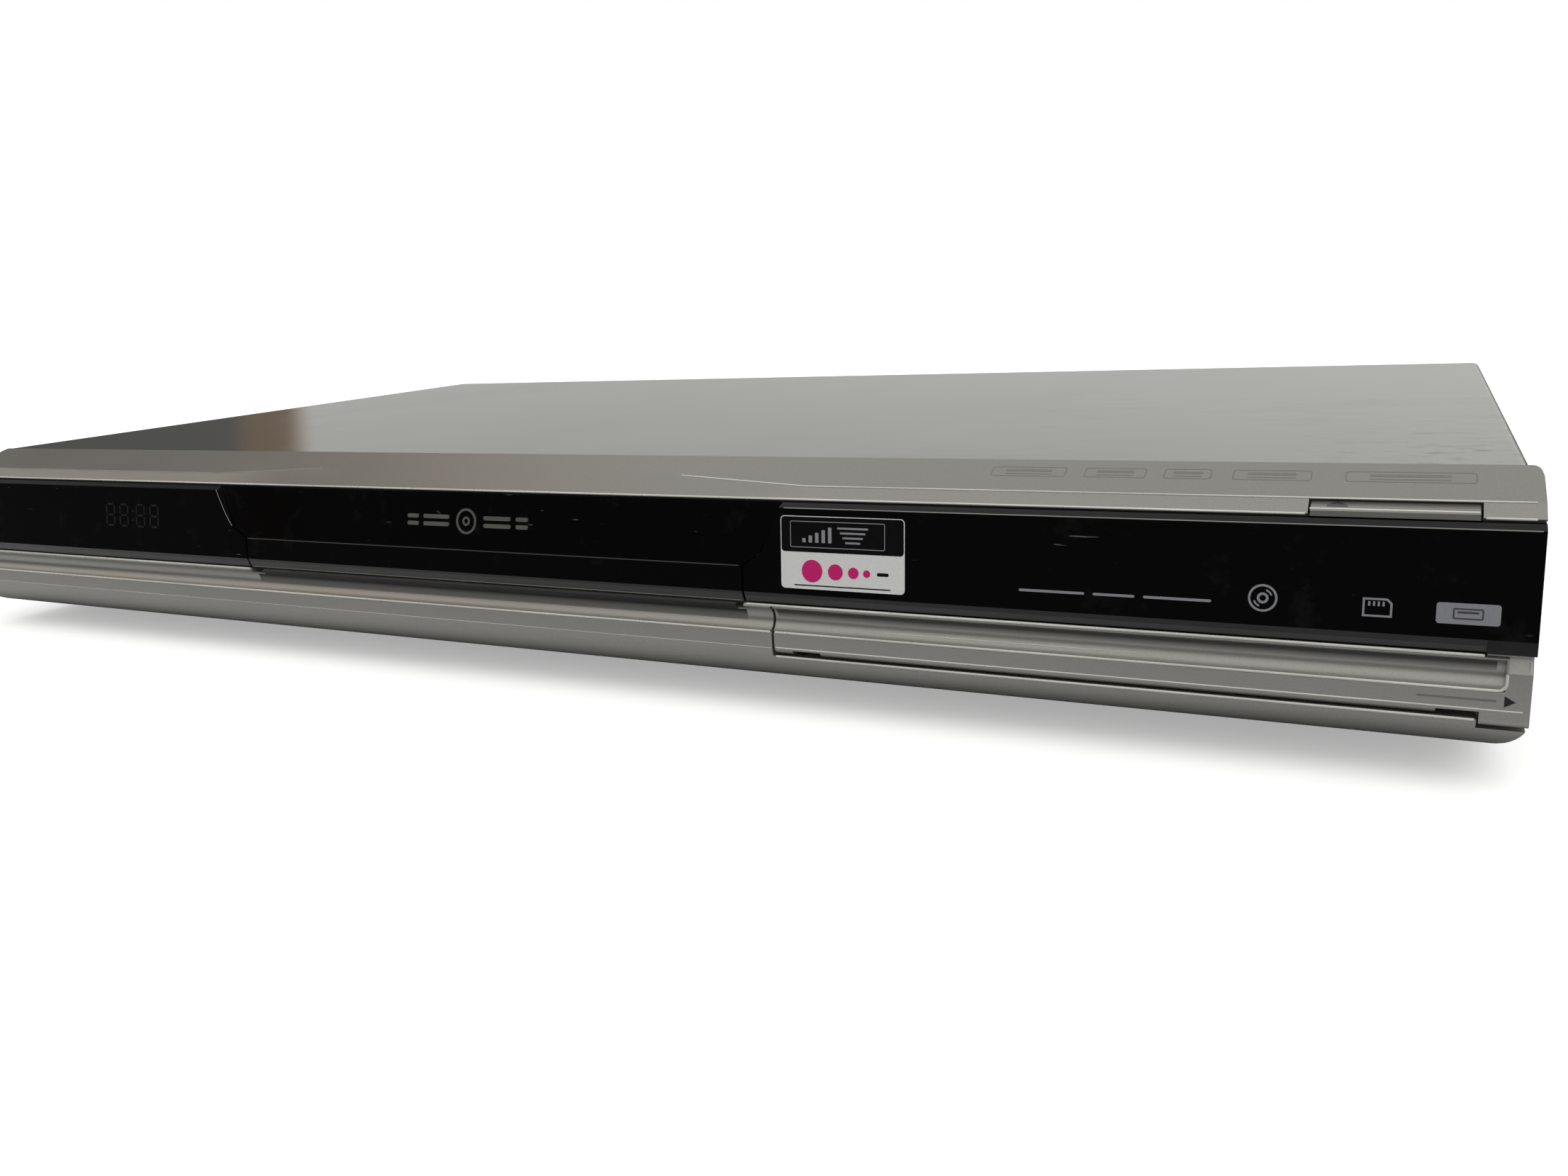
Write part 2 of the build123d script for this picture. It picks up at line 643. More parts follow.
    # Hinge knuckles for the flap
    for place in knuckle_places():
        span = (place - KNUCKLE / 2, place + KNUCKLE / 2)
        bar_x(span, PIVOT_PIN_Y, FLAP_PIVOT_Z, KNUCKLE_RADIUS)
        block(span, (PIVOT_PIN_Y, PIT_Y), (FLAP_PIVOT_Z - KNUCKLE_RADIUS, FLAP_PIVOT_Z + KNUCKLE_RADIUS))
        bar_x(span, PIVOT_PIN_Y, FLAP_PIVOT_Z, HINGE_PIN + PIN_FIT, Mode.SUBTRACT)
front_fascia.part.label = "front_fascia"
export_step(front_fascia.part, "parts/front_fascia.step")

# Black windows to the left and right of the tray door
with BuildPart() as window_left:
    extrude(window_section(-HALF, True), amount=HALF + DRIVE_X, dir=(1, 0, 0))
    extrude(door_outline(SEAM_Y, DOOR_GAP), amount=SEAM_BACK + 1, dir=(0, -1, 0), mode=Mode.SUBTRACT)
window_left.part.label = "window_left"
export_step(window_left.part, "parts/window_left.step")

with BuildPart() as window_right:
    extrude(window_section(DRIVE_X, True), amount=HALF - BEVEL_END - DRIVE_X, dir=(1, 0, 0))
    extrude(window_section(HALF - BEVEL_END, False), amount=BEVEL_END, dir=(1, 0, 0))
    extrude(door_outline(SEAM_Y, DOOR_GAP), amount=SEAM_BACK + 1, dir=(0, -1, 0), mode=Mode.SUBTRACT)
window_right.part.label = "window_right"
export_step(window_right.part, "parts/window_right.step")

# Tray door: leans back above its crease and rides on the front of the tray
with BuildPart() as tray_door:
    face_lean = WINDOW_TOP_BACK / (WINDOW_TOP_Z - WINDOW_BEVEL_Z)
    with BuildSketch(Plane.YZ.offset(DRIVE_X - DOOR_TOP_HALF - 1)):
        with BuildLine():
            Polyline(
                (SEAT_Y - RUN_GAP, WINDOW_EDGE_Z),
                (FRONT_Y + WINDOW_TOP_BACK + DOOR_TOP_RECESS, WINDOW_EDGE_Z),
                (FRONT_Y + face_lean * (DOOR_CREASE_Z - WINDOW_BEVEL_Z), DOOR_CREASE_Z),
                (FRONT_Y, WINDOW_BEVEL_Z),
                (FRONT_Y + WINDOW_BEVEL_IN, WINDOW_LOW_Z),
                (SEAT_Y - RUN_GAP, WINDOW_LOW_Z),
                close=True,
            )
        make_face()
    extrude(amount=2 * DOOR_TOP_HALF + 2)
    extrude(door_outline(SEAM_Y, 0), amount=SEAM_BACK + 1, dir=(0, -1, 0), mode=Mode.INTERSECT)
    for clip_x in (-TRAY_HALF + 10, 0, TRAY_HALF - 10):
        block(
            (DRIVE_X + clip_x - 8, DRIVE_X + clip_x + 8),
            (SEAT_Y - RUN_GAP, TRAY_FRONT_Y),
            (TRAY_LOW_Z + 0.5, TRAY_TOP_Z - 0.5),
        )
tray_door.part.label = "tray_door"
export_step(tray_door.part, "parts/tray_door.step")

# Flap over the card slot, the keys and the port, hinged along its lower edge
FINGER_WIDE = 3.9
FINGER_LOW_Z = 22.4
FINGER_DEEP = 1.2
SKIN_DROP = 0.8

with BuildPart() as flap_door:
    channel_end = HALF - 4.2
    extrude(flap_section(FLAP_LEFT_X, True), amount=channel_end - FLAP_LEFT_X, dir=(1, 0, 0))
    extrude(flap_section(channel_end, False), amount=FLAP_RIGHT_X - channel_end, dir=(1, 0, 0))
    ear_x = (FLAP_RIGHT_X - EAR_WIDTH, FLAP_RIGHT_X)
    block(ear_x, (BAND_Y, BAND_Y + FLAP_THICK), (EAR_LOW_Z, FLAP_PIVOT_Z))
    ear_edges = flap_door.edges().filter_by(Axis.X).group_by(Axis.Z)[0]
    fillet(ear_edges, 1.2)
    with BuildSketch(Plane.YZ.offset(HALF - FINGER_WIDE)):
        with BuildLine():
            Polyline(
                (BAND_Y - 1, FINGER_LOW_Z),
                (BAND_Y, FINGER_LOW_Z),
                (BAND_Y + FINGER_DEEP, BAND_TOP_Z),
                (BAND_Y - 1, BAND_TOP_Z),
                close=True,
            )
        make_face()
    extrude(amount=FINGER_WIDE, mode=Mode.SUBTRACT)
    for place in knuckle_places():
        reach = KNUCKLE / 2 + RUN_GAP
        span = (place - reach, place + reach)
        notch_y = (PIVOT_PIN_Y - KNUCKLE_RADIUS - 0.15, SEAT_Y)
        block(span, notch_y, (FLAP_PIVOT_Z - 3, FLAP_PIVOT_Z + 1.8), Mode.SUBTRACT)
        block(span, (FRONT_Y, SEAT_Y), (FLAP_PIVOT_Z - 3, FLAP_PIVOT_Z - SKIN_DROP), Mode.SUBTRACT)
        pin_span = (place - HINGE_PIN_LENGTH / 2, place + HINGE_PIN_LENGTH / 2)
        bar_x(pin_span, PIVOT_PIN_Y, FLAP_PIVOT_Z, HINGE_PIN, Mode.SUBTRACT)
flap_door.part.label = "flap_door"
export_step(flap_door.part, "parts/flap_door.step")

with BuildPart() as flap_hinge_pins:
    for place in knuckle_places():
        pin_span = (place - HINGE_PIN_LENGTH / 2, place + HINGE_PIN_LENGTH / 2)
        bar_x(pin_span, PIVOT_PIN_Y, FLAP_PIVOT_Z, HINGE_PIN)
flap_hinge_pins.part.label = "flap_hinge_pins"
export_step(flap_hinge_pins.part, "parts/flap_hinge_pins.step")

# Keys on the lip
with BuildPart() as open_close_button:
    lip_key(OPEN_KEY_X, OPEN_KEY_WIDTH)
open_close_button.part.label = "open_close_button"
export_step(open_close_button.part, "parts/open_close_button.step")

with BuildPart() as power_button:
    lip_key(POWER_KEY_X, POWER_KEY_WIDTH)
power_button.part.label = "power_button"
export_step(power_button.part, "parts/power_button.step")

# Small keys behind the flap, each with a flange that keeps it from falling out
PIT_REAR_Y = PIT_Y + PANEL_WALL
KEY_FLANGE = 0.8
KEY_BOARD_Y = PIT_REAR_Y + 4.4
SWITCH_DEEP = 1.0


def small_key(key_x):
    # One small key: cap through the panel, flange and stem behind it
    half = SMALL_KEY_WIDTH / 2
    rise = SMALL_KEY_HEIGHT / 2
    flange_y = PIT_REAR_Y + RUN_GAP
    block(
        (key_x - half, key_x + half),
        (PIT_Y - SMALL_KEY_PROUD, flange_y),
        (SMALL_KEY_Z - rise, SMALL_KEY_Z + rise),
    )
    block(
        (key_x - half - KEY_FLANGE, key_x + half + KEY_FLANGE),
        (flange_y, flange_y + KEY_FLANGE),
        (SMALL_KEY_Z - rise - KEY_FLANGE, SMALL_KEY_Z + rise + KEY_FLANGE),
    )
    stem_y = (flange_y + KEY_FLANGE, KEY_BOARD_Y - SWITCH_DEEP - SMALL_KEY_TRAVEL - 0.1)
    bar_y(key_x, stem_y, SMALL_KEY_Z, 1.5)


with BuildPart() as stop_button:
    small_key(STOP_KEY_X)
stop_button.part.label = "stop_button"
export_step(stop_button.part, "parts/stop_button.step")

with BuildPart() as play_button:
    small_key(PLAY_KEY_X)
play_button.part.label = "play_button"
export_step(play_button.part, "parts/play_button.step")

# Boards and sockets behind the front
CARD_BOARD_PAST = 10.0
CARD_BOARD_IN = 11.0
CARD_BOARD_X = (STOP_KEY_X - CARD_BOARD_PAST, HALF - CARD_BOARD_IN)
CARD_BOARD_DEEP = 22.0
SWITCH = 6.0
KEY_BOARD_PAST = 14.0
KEY_BOARD_IN = 9.0
KEY_BOARD_X = (STOP_KEY_X - KEY_BOARD_PAST, HALF - KEY_BOARD_IN)
KEY_BOARD_Z = (LOW_WALL + FOOT_HEIGHT + 1.0, KEY_STEM_TOP + 0.3)
SWITCH_Y = (KEY_BOARD_Y - SWITCH_DEEP, KEY_BOARD_Y)
CARD_BOARD_REAR_Y = KEY_BOARD_Y + BOARD + 0.4 + CARD_BOARD_DEEP

with BuildPart() as key_board:
    block(KEY_BOARD_X, (KEY_BOARD_Y, KEY_BOARD_Y + BOARD), KEY_BOARD_Z)
    for socket_x, size in ((USB_X, USB_SIZE), (SD_X, SD_SIZE)):
        reach = size[0] / 2 + 1
        block(
            (socket_x - reach, socket_x + reach),
            (KEY_BOARD_Y - 1, KEY_BOARD_Y + BOARD + 1),
            (CARD_BOARD_TOP - 3, CARD_BOARD_TOP + size[1] + 1),
            Mode.SUBTRACT,
        )
    block(
        (SD_X - SD_SIZE[0] / 2 - 6, USB_X + USB_SIZE[0] / 2 + 6),
        (KEY_BOARD_Y - 1, KEY_BOARD_Y + BOARD + 1),
        (CARD_BOARD_TOP - BOARD - 0.4, CARD_BOARD_TOP + 0.4),
        Mode.SUBTRACT,
    )
    for key_x in (STOP_KEY_X, PLAY_KEY_X):
        block(
            (key_x - SWITCH / 2, key_x + SWITCH / 2),
            SWITCH_Y,
            (SMALL_KEY_Z - SWITCH / 2, SMALL_KEY_Z + SWITCH / 2),
        )
    switch_x = (OPEN_KEY_X - SWITCH / 2, OPEN_KEY_X + SWITCH / 2)
    block(switch_x, SWITCH_Y, (KEY_STEM_TOP - 3.8, KEY_STEM_TOP + 0.2))
key_board.part.label = "key_board"
export_step(key_board.part, "parts/key_board.step")

with BuildPart() as card_board:
    block(
        CARD_BOARD_X,
        (CARD_BOARD_REAR_Y - CARD_BOARD_DEEP, CARD_BOARD_REAR_Y),
        (CARD_BOARD_TOP - BOARD, CARD_BOARD_TOP),
    )
    block(
        (SD_X - SD_SIZE[0] / 2 - 5, USB_X + USB_SIZE[0] / 2 + 5),
        (PIT_REAR_Y + 0.4, CARD_BOARD_REAR_Y - CARD_BOARD_DEEP / 2),
        (CARD_BOARD_TOP - BOARD, CARD_BOARD_TOP),
    )
card_board.part.label = "card_board"
export_step(card_board.part, "parts/card_board.step")

with BuildPart() as usb_port:
    shell = 0.35
    usb_y = (PIT_Y + 0.3, PIT_Y + 14.0)
    usb_x = (USB_X - USB_SIZE[0] / 2, USB_X + USB_SIZE[0] / 2)
    usb_z = (CARD_BOARD_TOP, CARD_BOARD_TOP + USB_SIZE[1])
    block(usb_x, usb_y, usb_z)
    block(
        (usb_x[0] + shell, usb_x[1] - shell),
        (usb_y[0] - 1, usb_y[1] - 2.5),
        (usb_z[0] + shell, usb_z[1] - shell),
        Mode.SUBTRACT,
    )
    block((USB_X - 5.5, USB_X + 5.5), (usb_y[0] + 1, usb_y[1] - 2), (usb_z[1] - 2.6, usb_z[1] - 0.9))
usb_port.part.label = "usb_port"
export_step(usb_port.part, "parts/usb_port.step")

with BuildPart() as sd_card_slot:
    sd_y = (PIT_Y + 0.3, PIT_Y + 27.0)
    sd_x = (SD_X - SD_SIZE[0] / 2, SD_X + SD_SIZE[0] / 2)
    block(sd_x, sd_y, (CARD_BOARD_TOP, CARD_BOARD_TOP + SD_SIZE[1]))
    block(
        (sd_x[0] + 0.4, sd_x[1] - 0.4),
        (sd_y[0] - 1, sd_y[1] - 2),
        (CARD_BOARD_TOP + 0.5, CARD_BOARD_TOP + SD_SIZE[1] - 0.4),
        Mode.SUBTRACT,
    )
sd_card_slot.part.label = "sd_card_slot"
export_step(sd_card_slot.part, "parts/sd_card_slot.step")

FRONT_BOARD_IN = 3.2
FRONT_BOARD_PAST = 12.0
FRONT_BOARD_X = (FRONT_BOARD_IN - HALF, DISPLAY_X[1] + FRONT_BOARD_PAST)
FRONT_BOARD_LIFT = 6.0

with BuildPart() as front_board:
    board_z = (KEY_BOARD_Z[0] + FRONT_BOARD_LIFT, KEY_BOARD_Z[1])
    block(FRONT_BOARD_X, (KEY_BOARD_Y, KEY_BOARD_Y + BOARD), board_z)
    block(
        (POWER_KEY_X - SWITCH / 2 + 0.5, POWER_KEY_X + SWITCH / 2),
        SWITCH_Y,
        (KEY_STEM_TOP - 3.8, KEY_STEM_TOP + 0.2),
    )
front_board.part.label = "front_board"
export_step(front_board.part, "parts/front_board.step")

with BuildPart() as display_module:
    block(DISPLAY_X, (SEAT_Y + 0.4, KEY_BOARD_Y), DISPLAY_Z)
    block(
        (DISPLAY_X[0] + 2, DISPLAY_X[1] - 2),
        (SEAT_Y - 1, SEAT_Y + 1.0),
        (DISPLAY_Z[0] + 1.6, DISPLAY_Z[1] - 1.6),
        Mode.SUBTRACT,
    )
display_module.part.label = "display_module"
export_step(display_module.part, "parts/display_module.step")

# Sheet metal: cover, base and rear panel
VENT_COUNT = 12
VENT_PITCH = 6.0
VENT_WIDE = 2.4
VENT_TALL = 12.0
VENT_DROP = 19.0
VENT_REAR_IN = 63.9
VENT_LOW_Z = HEIGHT - VENT_DROP
VENT_REAR_Y = REAR_Y - VENT_REAR_IN
SIDE_LOW_Z = 8.4
COVER_FLANGE = 9.0
WALL_TOP_Z = 34.0
WALL_FLANGE = 6.0
FRONT_FLANGE_TOP = 19.0
REAR_FLANGE_TOP = 13.0
FOOT_RADIUS = 13.0
FOOT_SIDE_IN = 47.4
FOOT_FRONT_IN = 26.1
FOOT_REAR_IN = 28.1
FOOT_X = INNER_HALF - FOOT_SIDE_IN
FOOT_Y = (CHASSIS_FRONT_Y + FOOT_FRONT_IN, PANEL_IN_Y - FOOT_REAR_IN)
COVER_TAB_DROP = 6.0
COVER_TAB_FRONT_IN = 55.6
COVER_TAB_REAR_IN = 31.9
COVER_TAB_Z = HEIGHT - COVER_TAB_DROP
COVER_TAB_Y = (SEAM_Y + COVER_TAB_FRONT_IN, REAR_Y - COVER_TAB_REAR_IN)
TAB_HALF = 7.0


def arch_face(half, low, high, corner):
    # Upright rectangle at the cover's front edge with its two upper corners rounded
    with BuildSketch(Plane.XZ.offset(-SEAM_Y)) as sketch:
        with Locations((0, (low + high) / 2)):
            Rectangle(2 * half, high - low)
        fillet(sketch.vertices().group_by(Axis.Y)[-1], corner)
    return sketch.sketch


with BuildPart() as top_cover:
    deep = REAR_Y - SEAM_Y
    outside = arch_face(COVER_HALF, SIDE_LOW_Z, HEIGHT, BEND + SHEET)
    inside = arch_face(COVER_HALF - SHEET, SIDE_LOW_Z - 1, HEIGHT - SHEET, BEND)
    extrude(outside, amount=deep, dir=(0, 1, 0))
    extrude(inside, amount=deep, dir=(0, 1, 0), mode=Mode.SUBTRACT)
    block(
        (-COVER_HALF + BEND + SHEET, COVER_HALF - BEND - SHEET),
        (REAR_Y - SHEET, REAR_Y),
        (HEIGHT - COVER_FLANGE, HEIGHT - SHEET / 2),
    )
    for index in range(VENT_COUNT):
        vent_y = VENT_REAR_Y - index * VENT_PITCH
        block(
            (-COVER_HALF - 1, COVER_HALF + 1),
            (vent_y - VENT_WIDE / 2, vent_y + VENT_WIDE / 2),
            (VENT_LOW_Z, VENT_LOW_Z + VENT_TALL),
            Mode.SUBTRACT,
        )
top_cover.part.label = "top_cover"
export_step(top_cover.part, "parts/top_cover.step")

BOSS = 2.8
BOARD_REAR_GAP = 1.4
MAIN_BOARD_IN = 4.4
MAIN_BOARD_GAP = 6.7
MAIN_BOARD_LONG = 130.7
STRIP_PAST = 7.3
STRIP_GAP = 4.0
PSU_GAP = 8.0
PSU_IN = 6.4
PSU_LONG = 154.0
PSU_REAR_GAP = 20.1
BOARD_REAR_Y = PANEL_IN_Y - BOARD_REAR_GAP
MAIN_BOARD_X = (MAIN_BOARD_IN - INNER_HALF, DRIVE_X - FRAME_HALF - MAIN_BOARD_GAP)
MAIN_BOARD_FRONT_Y = BOARD_REAR_Y - MAIN_BOARD_LONG
STRIP_RIGHT_X = DRIVE_X + FRAME_HALF + STRIP_PAST
STRIP_FRONT_Y = FRAME_REAR_Y + STRIP_GAP
PSU_X = (STRIP_RIGHT_X + PSU_GAP, INNER_HALF - PSU_IN)
PSU_Y = (PANEL_IN_Y - PSU_REAR_GAP - PSU_LONG, PANEL_IN_Y - PSU_REAR_GAP)
BOARD_INSET = 5.0
FRAME_FOOT_SIDE_IN = 7.0
FRAME_FOOT_FRONT_IN = 37.0
FRAME_FOOT_REAR_IN = 14.0
FRAME_FOOT_X = (DRIVE_X - FRAME_HALF + FRAME_FOOT_SIDE_IN, DRIVE_X + FRAME_HALF - FRAME_FOOT_SIDE_IN)
FRAME_FOOT_Y = (FRAME_FRONT_Y + FRAME_FOOT_FRONT_IN, FRAME_REAR_Y - FRAME_FOOT_REAR_IN)
BOARD_POSTS = (
    (MAIN_BOARD_X[0] + BOARD_INSET, MAIN_BOARD_FRONT_Y + BOARD_INSET),
    (MAIN_BOARD_X[1] - BOARD_INSET, MAIN_BOARD_FRONT_Y + BOARD_INSET),
    (MAIN_BOARD_X[0] + BOARD_INSET, STRIP_FRONT_Y + BOARD_INSET),
    (STRIP_RIGHT_X - BOARD_INSET, STRIP_FRONT_Y + BOARD_INSET),
    (PSU_X[0] + BOARD_INSET, PSU_Y[0] + BOARD_INSET),
    (PSU_X[1] - BOARD_INSET, PSU_Y[0] + BOARD_INSET),
    (PSU_X[0] + BOARD_INSET, PSU_Y[1] - BOARD_INSET),
    (PSU_X[1] - BOARD_INSET, PSU_Y[1] - BOARD_INSET),
)
BEAD = 1.2
BEAD_WIDE = 8.0
BEAD_LONG = 132.1
BEAD_FRONT_IN = 30.0
BEAD_X = [share_of(MAIN_BOARD_X, share) for share in (0.155, 0.5, 0.845)]
BEAD_X += [share_of(PSU_X, share) for share in (0.094, 0.484, 0.875)]

with BuildPart() as chassis_base:
    base_y = (CHASSIS_FRONT_Y, PANEL_IN_Y - SHEET_GAP)
    block((-INNER_HALF, INNER_HALF), base_y, (FOOT_HEIGHT, BASE_TOP_Z))
    for side in (-1, 1):
        wall = mirror_span(side, INNER_HALF - SHEET, INNER_HALF)
        block(wall, base_y, (FOOT_HEIGHT, WALL_TOP_Z))
        lip = mirror_span(side, INNER_HALF - WALL_FLANGE, INNER_HALF)
        block(lip, (CHASSIS_FRONT_Y + 8, PANEL_IN_Y - 12), (WALL_TOP_Z - SHEET, WALL_TOP_Z))
        for tab_y in COVER_TAB_Y:
            block(wall, (tab_y - TAB_HALF, tab_y + TAB_HALF), (WALL_TOP_Z - 1, COVER_TAB_Z))
    block(
        (-INNER_HALF + 12, INNER_HALF - 12),
        (CHASSIS_FRONT_Y, CHASSIS_FRONT_Y + SHEET),
        (FOOT_HEIGHT, FRONT_FLANGE_TOP),
    )
    block(
        (CARD_BOARD_X[0] - 2, CARD_BOARD_X[1] + 2),
        (CHASSIS_FRONT_Y - 1, CHASSIS_FRONT_Y + SHEET + 1),
        (CARD_BOARD_TOP - BOARD - 1.5, HEIGHT),
        Mode.SUBTRACT,
    )
    block(
        (-INNER_HALF + 4, INNER_HALF - 4),
        (PANEL_IN_Y - SHEET_GAP - SHEET, PANEL_IN_Y - SHEET_GAP),
        (FOOT_HEIGHT, REAR_FLANGE_TOP),
    )
    for bead_x in BEAD_X:
        bead_y = (CHASSIS_FRONT_Y + BEAD_FRONT_IN, CHASSIS_FRONT_Y + BEAD_FRONT_IN + BEAD_LONG)
        bead_z = (BASE_TOP_Z, BASE_TOP_Z + BEAD)
        block((bead_x - BEAD_WIDE / 2, bead_x + BEAD_WIDE / 2), bead_y, bead_z)
        block(
            (bead_x - BEAD_WIDE / 2 + SHEET, bead_x + BEAD_WIDE / 2 - SHEET),
            (bead_y[0] + SHEET, bead_y[1] - SHEET),
            (FOOT_HEIGHT, BASE_TOP_Z + BEAD - SHEET),
            Mode.SUBTRACT,
        )
    for post_x, post_y in BOARD_POSTS:
        hex_post(post_x, post_y, (FOOT_HEIGHT, BOARD_Z), BOSS)
    for foot_x in FRAME_FOOT_X:
        for foot_y in FRAME_FOOT_Y:
            hex_post(foot_x, foot_y, (FOOT_HEIGHT, FRAME_LOW_Z), BOSS + 1)
chassis_base.part.label = "chassis_base"
export_step(chassis_base.part, "parts/chassis_base.step")

with BuildPart() as rubber_feet:
    for foot_x in (-FOOT_X, FOOT_X):
        for foot_y in FOOT_Y:
            post(foot_x, foot_y, (0, FOOT_HEIGHT), FOOT_RADIUS)
rubber_feet.part.label = "rubber_feet"
export_step(rubber_feet.part, "parts/rubber_feet.step")

# Sockets in the rear panel
SOCKET_Z = BOARD_Z + BOARD
SOCKET_PROUD = 0.6
SOCKET_GAP = 0.2
INLET_SIZE = (21.0, 12.0)
INLET_DEEP = 18.0
INLET_LOBE = 4.2
INLET_PITCH = 8.6
LAN_SIZE = (16.0, 13.4)
LAN_DEEP = 21.0
HDMI_SIZE = (15.0, 6.0)
HDMI_DEEP = 12.0
OPTICAL_SIZE = (10.2, 10.2)
OPTICAL_DEEP = 13.0
JACK_BORE = 1.6
JACK_BORE_DEEP = 8.5
FAN_BLADES = 7
FAN_HUB = 9.0
GRILLE_SLOT = 2.6
GRILLE_PITCH = 5.2


def jack_places():
    # Centres of the six round jacks, three across and two up
    places = []
    for column in (-1, 0, 1):
        for row in (0, 1):
            places.append((JACK_BLOCK_X + column * JACK_PITCH, SOCKET_Z + JACK_PITCH * (0.6 + row)))
    return places


def socket_span(x, size):
    # Limits along X of a socket's body
    return (x - size[0] / 2, x + size[0] / 2)


with BuildPart() as rear_panel:
    panel_z = (BASE_TOP_Z + 0.2, HEIGHT - SHEET - 0.3)
    block((-INNER_HALF + 0.2, INNER_HALF - 0.2), (PANEL_IN_Y, PANEL_Y), panel_z)
    through = (PANEL_IN_Y - 1, PANEL_Y + 1)
    for socket_x, size in ((LAN_X, LAN_SIZE), (HDMI_X, HDMI_SIZE), (OPTICAL_X, OPTICAL_SIZE)):
        block(
            grow(socket_span(socket_x, size), SOCKET_GAP),
            through,
            grow((SOCKET_Z, SOCKET_Z + size[1]), SOCKET_GAP),
            Mode.SUBTRACT,
        )
    block(
        grow(socket_span(INLET_X, INLET_SIZE), SOCKET_GAP),
        through,
        grow((INLET_Z - INLET_SIZE[1] / 2, INLET_Z + INLET_SIZE[1] / 2), SOCKET_GAP),
        Mode.SUBTRACT,
    )
    for jack_x, jack_z in jack_places():
        hex_bar_y(jack_x, through, jack_z, JACK_BASE + SOCKET_GAP + 0.1, Mode.SUBTRACT)
    grille_turns = int((FAN_SIZE / 2 - 3) / GRILLE_PITCH)
    for index in range(-grille_turns, grille_turns + 1):
        slot_x = FAN_X + index * GRILLE_PITCH
        reach = sqrt((FAN_SIZE / 2 - 2) ** 2 - (index * GRILLE_PITCH) ** 2)
        slot = (slot_x - GRILLE_SLOT / 2, slot_x + GRILLE_SLOT / 2)
        block(slot, through, (FAN_Z - reach, FAN_Z + reach), Mode.SUBTRACT)
rear_panel.part.label = "rear_panel"
export_step(rear_panel.part, "parts/rear_panel.step")

# Disc drive frame: side walls with the tray's rails, the gear deck and the cam's guide
LEDGE_THICK = 2.0
TRAY_SIDE_GAP = 0.5
RIB_PITCH = 44.0
RIB_THICK = 2.0
RAIL_TOP_Z = TRAY_LOW_Z - RUN_GAP
TAB_LOW_Z = TRAY_TOP_Z + RUN_GAP
TAB_FRONT_IN = 6.0
TAB_MIDDLE_IN = 73.0
TAB_REAR_IN = 34.0
TAB_Y = (FRAME_FRONT_Y + TAB_FRONT_IN, FRAME_FRONT_Y + TAB_MIDDLE_IN, FRAME_REAR_Y - TAB_REAR_IN)
TAB_LONG = 12.0
DECK_REAR_Y = GEAR_Y + 13.1
CAM_GUIDE = 1.0
CAM_Y = (DECK_REAR_Y + 0.4, DECK_REAR_Y + 0.4 + CAM_PLATE)
PIN_LOCAL_Y = -DECK_LENGTH - 2.0
PIN_LOCAL_Z = 1.0
PIN_REST_Z = PIVOT_Z + PIN_LOCAL_Y * sin(radians(TILT)) + PIN_LOCAL_Z * cos(radians(TILT))
PIN_UP_Z = PIVOT_Z + PIN_LOCAL_Z
CAM_EDGE = 1.0
CAM_LOW_Z = PIN_REST_Z - CAM_PIN - CAM_SLOT_GAP - CAM_EDGE
CAM_HIGH_Z = 28.0
CAM_LEFT = 48.0
CAM_RIGHT = 24.0
CAM_X = (DRIVE_X - CAM_LEFT, DRIVE_X + CAM_RIGHT)
SHELF_THICK = 1.7
INNER_WALL = 2.4
INNER_WALL_X = DECK_HALF + 4.0
INNER_GAP = 1.5
INNER_FRONT_Y = CAM_Y[1] + INNER_GAP
TRAY_GEAR_X = DRIVE_X + RACK_OFFSET + MODULE * TRAY_GEAR_TEETH / 2
PINION_X = TRAY_GEAR_X + MODULE * (TRAY_GEAR_TEETH + PINION_TEETH) / 2
MOTOR_X = PINION_X + MOTOR_SPAN
SHAFT = 1.0
PULLEY_LOW_Z = DECK_TOP_Z + 0.5
PULLEY_HIGH_Z = PULLEY_LOW_Z + PULLEY_THICK
PINION_TOP_Z = PULLEY_HIGH_Z + 4.4
TRAY_GEAR_LOW_Z = PULLEY_HIGH_Z + 0.4
TRAY_GEAR_TOP_Z = TRAY_FLOOR_Z - 1.1
DECK_LOW_Z = DECK_TOP_Z - DECK_THICK


def frame_span(near, far):
    # Limits along X measured from the middle of the drive
    return (DRIVE_X + near, DRIVE_X + far)


def frame_side(side, near, far):
    # Limits along X on one side of the drive's middle
    low, high = mirror_span(side, near, far)
    return (DRIVE_X + low, DRIVE_X + high)


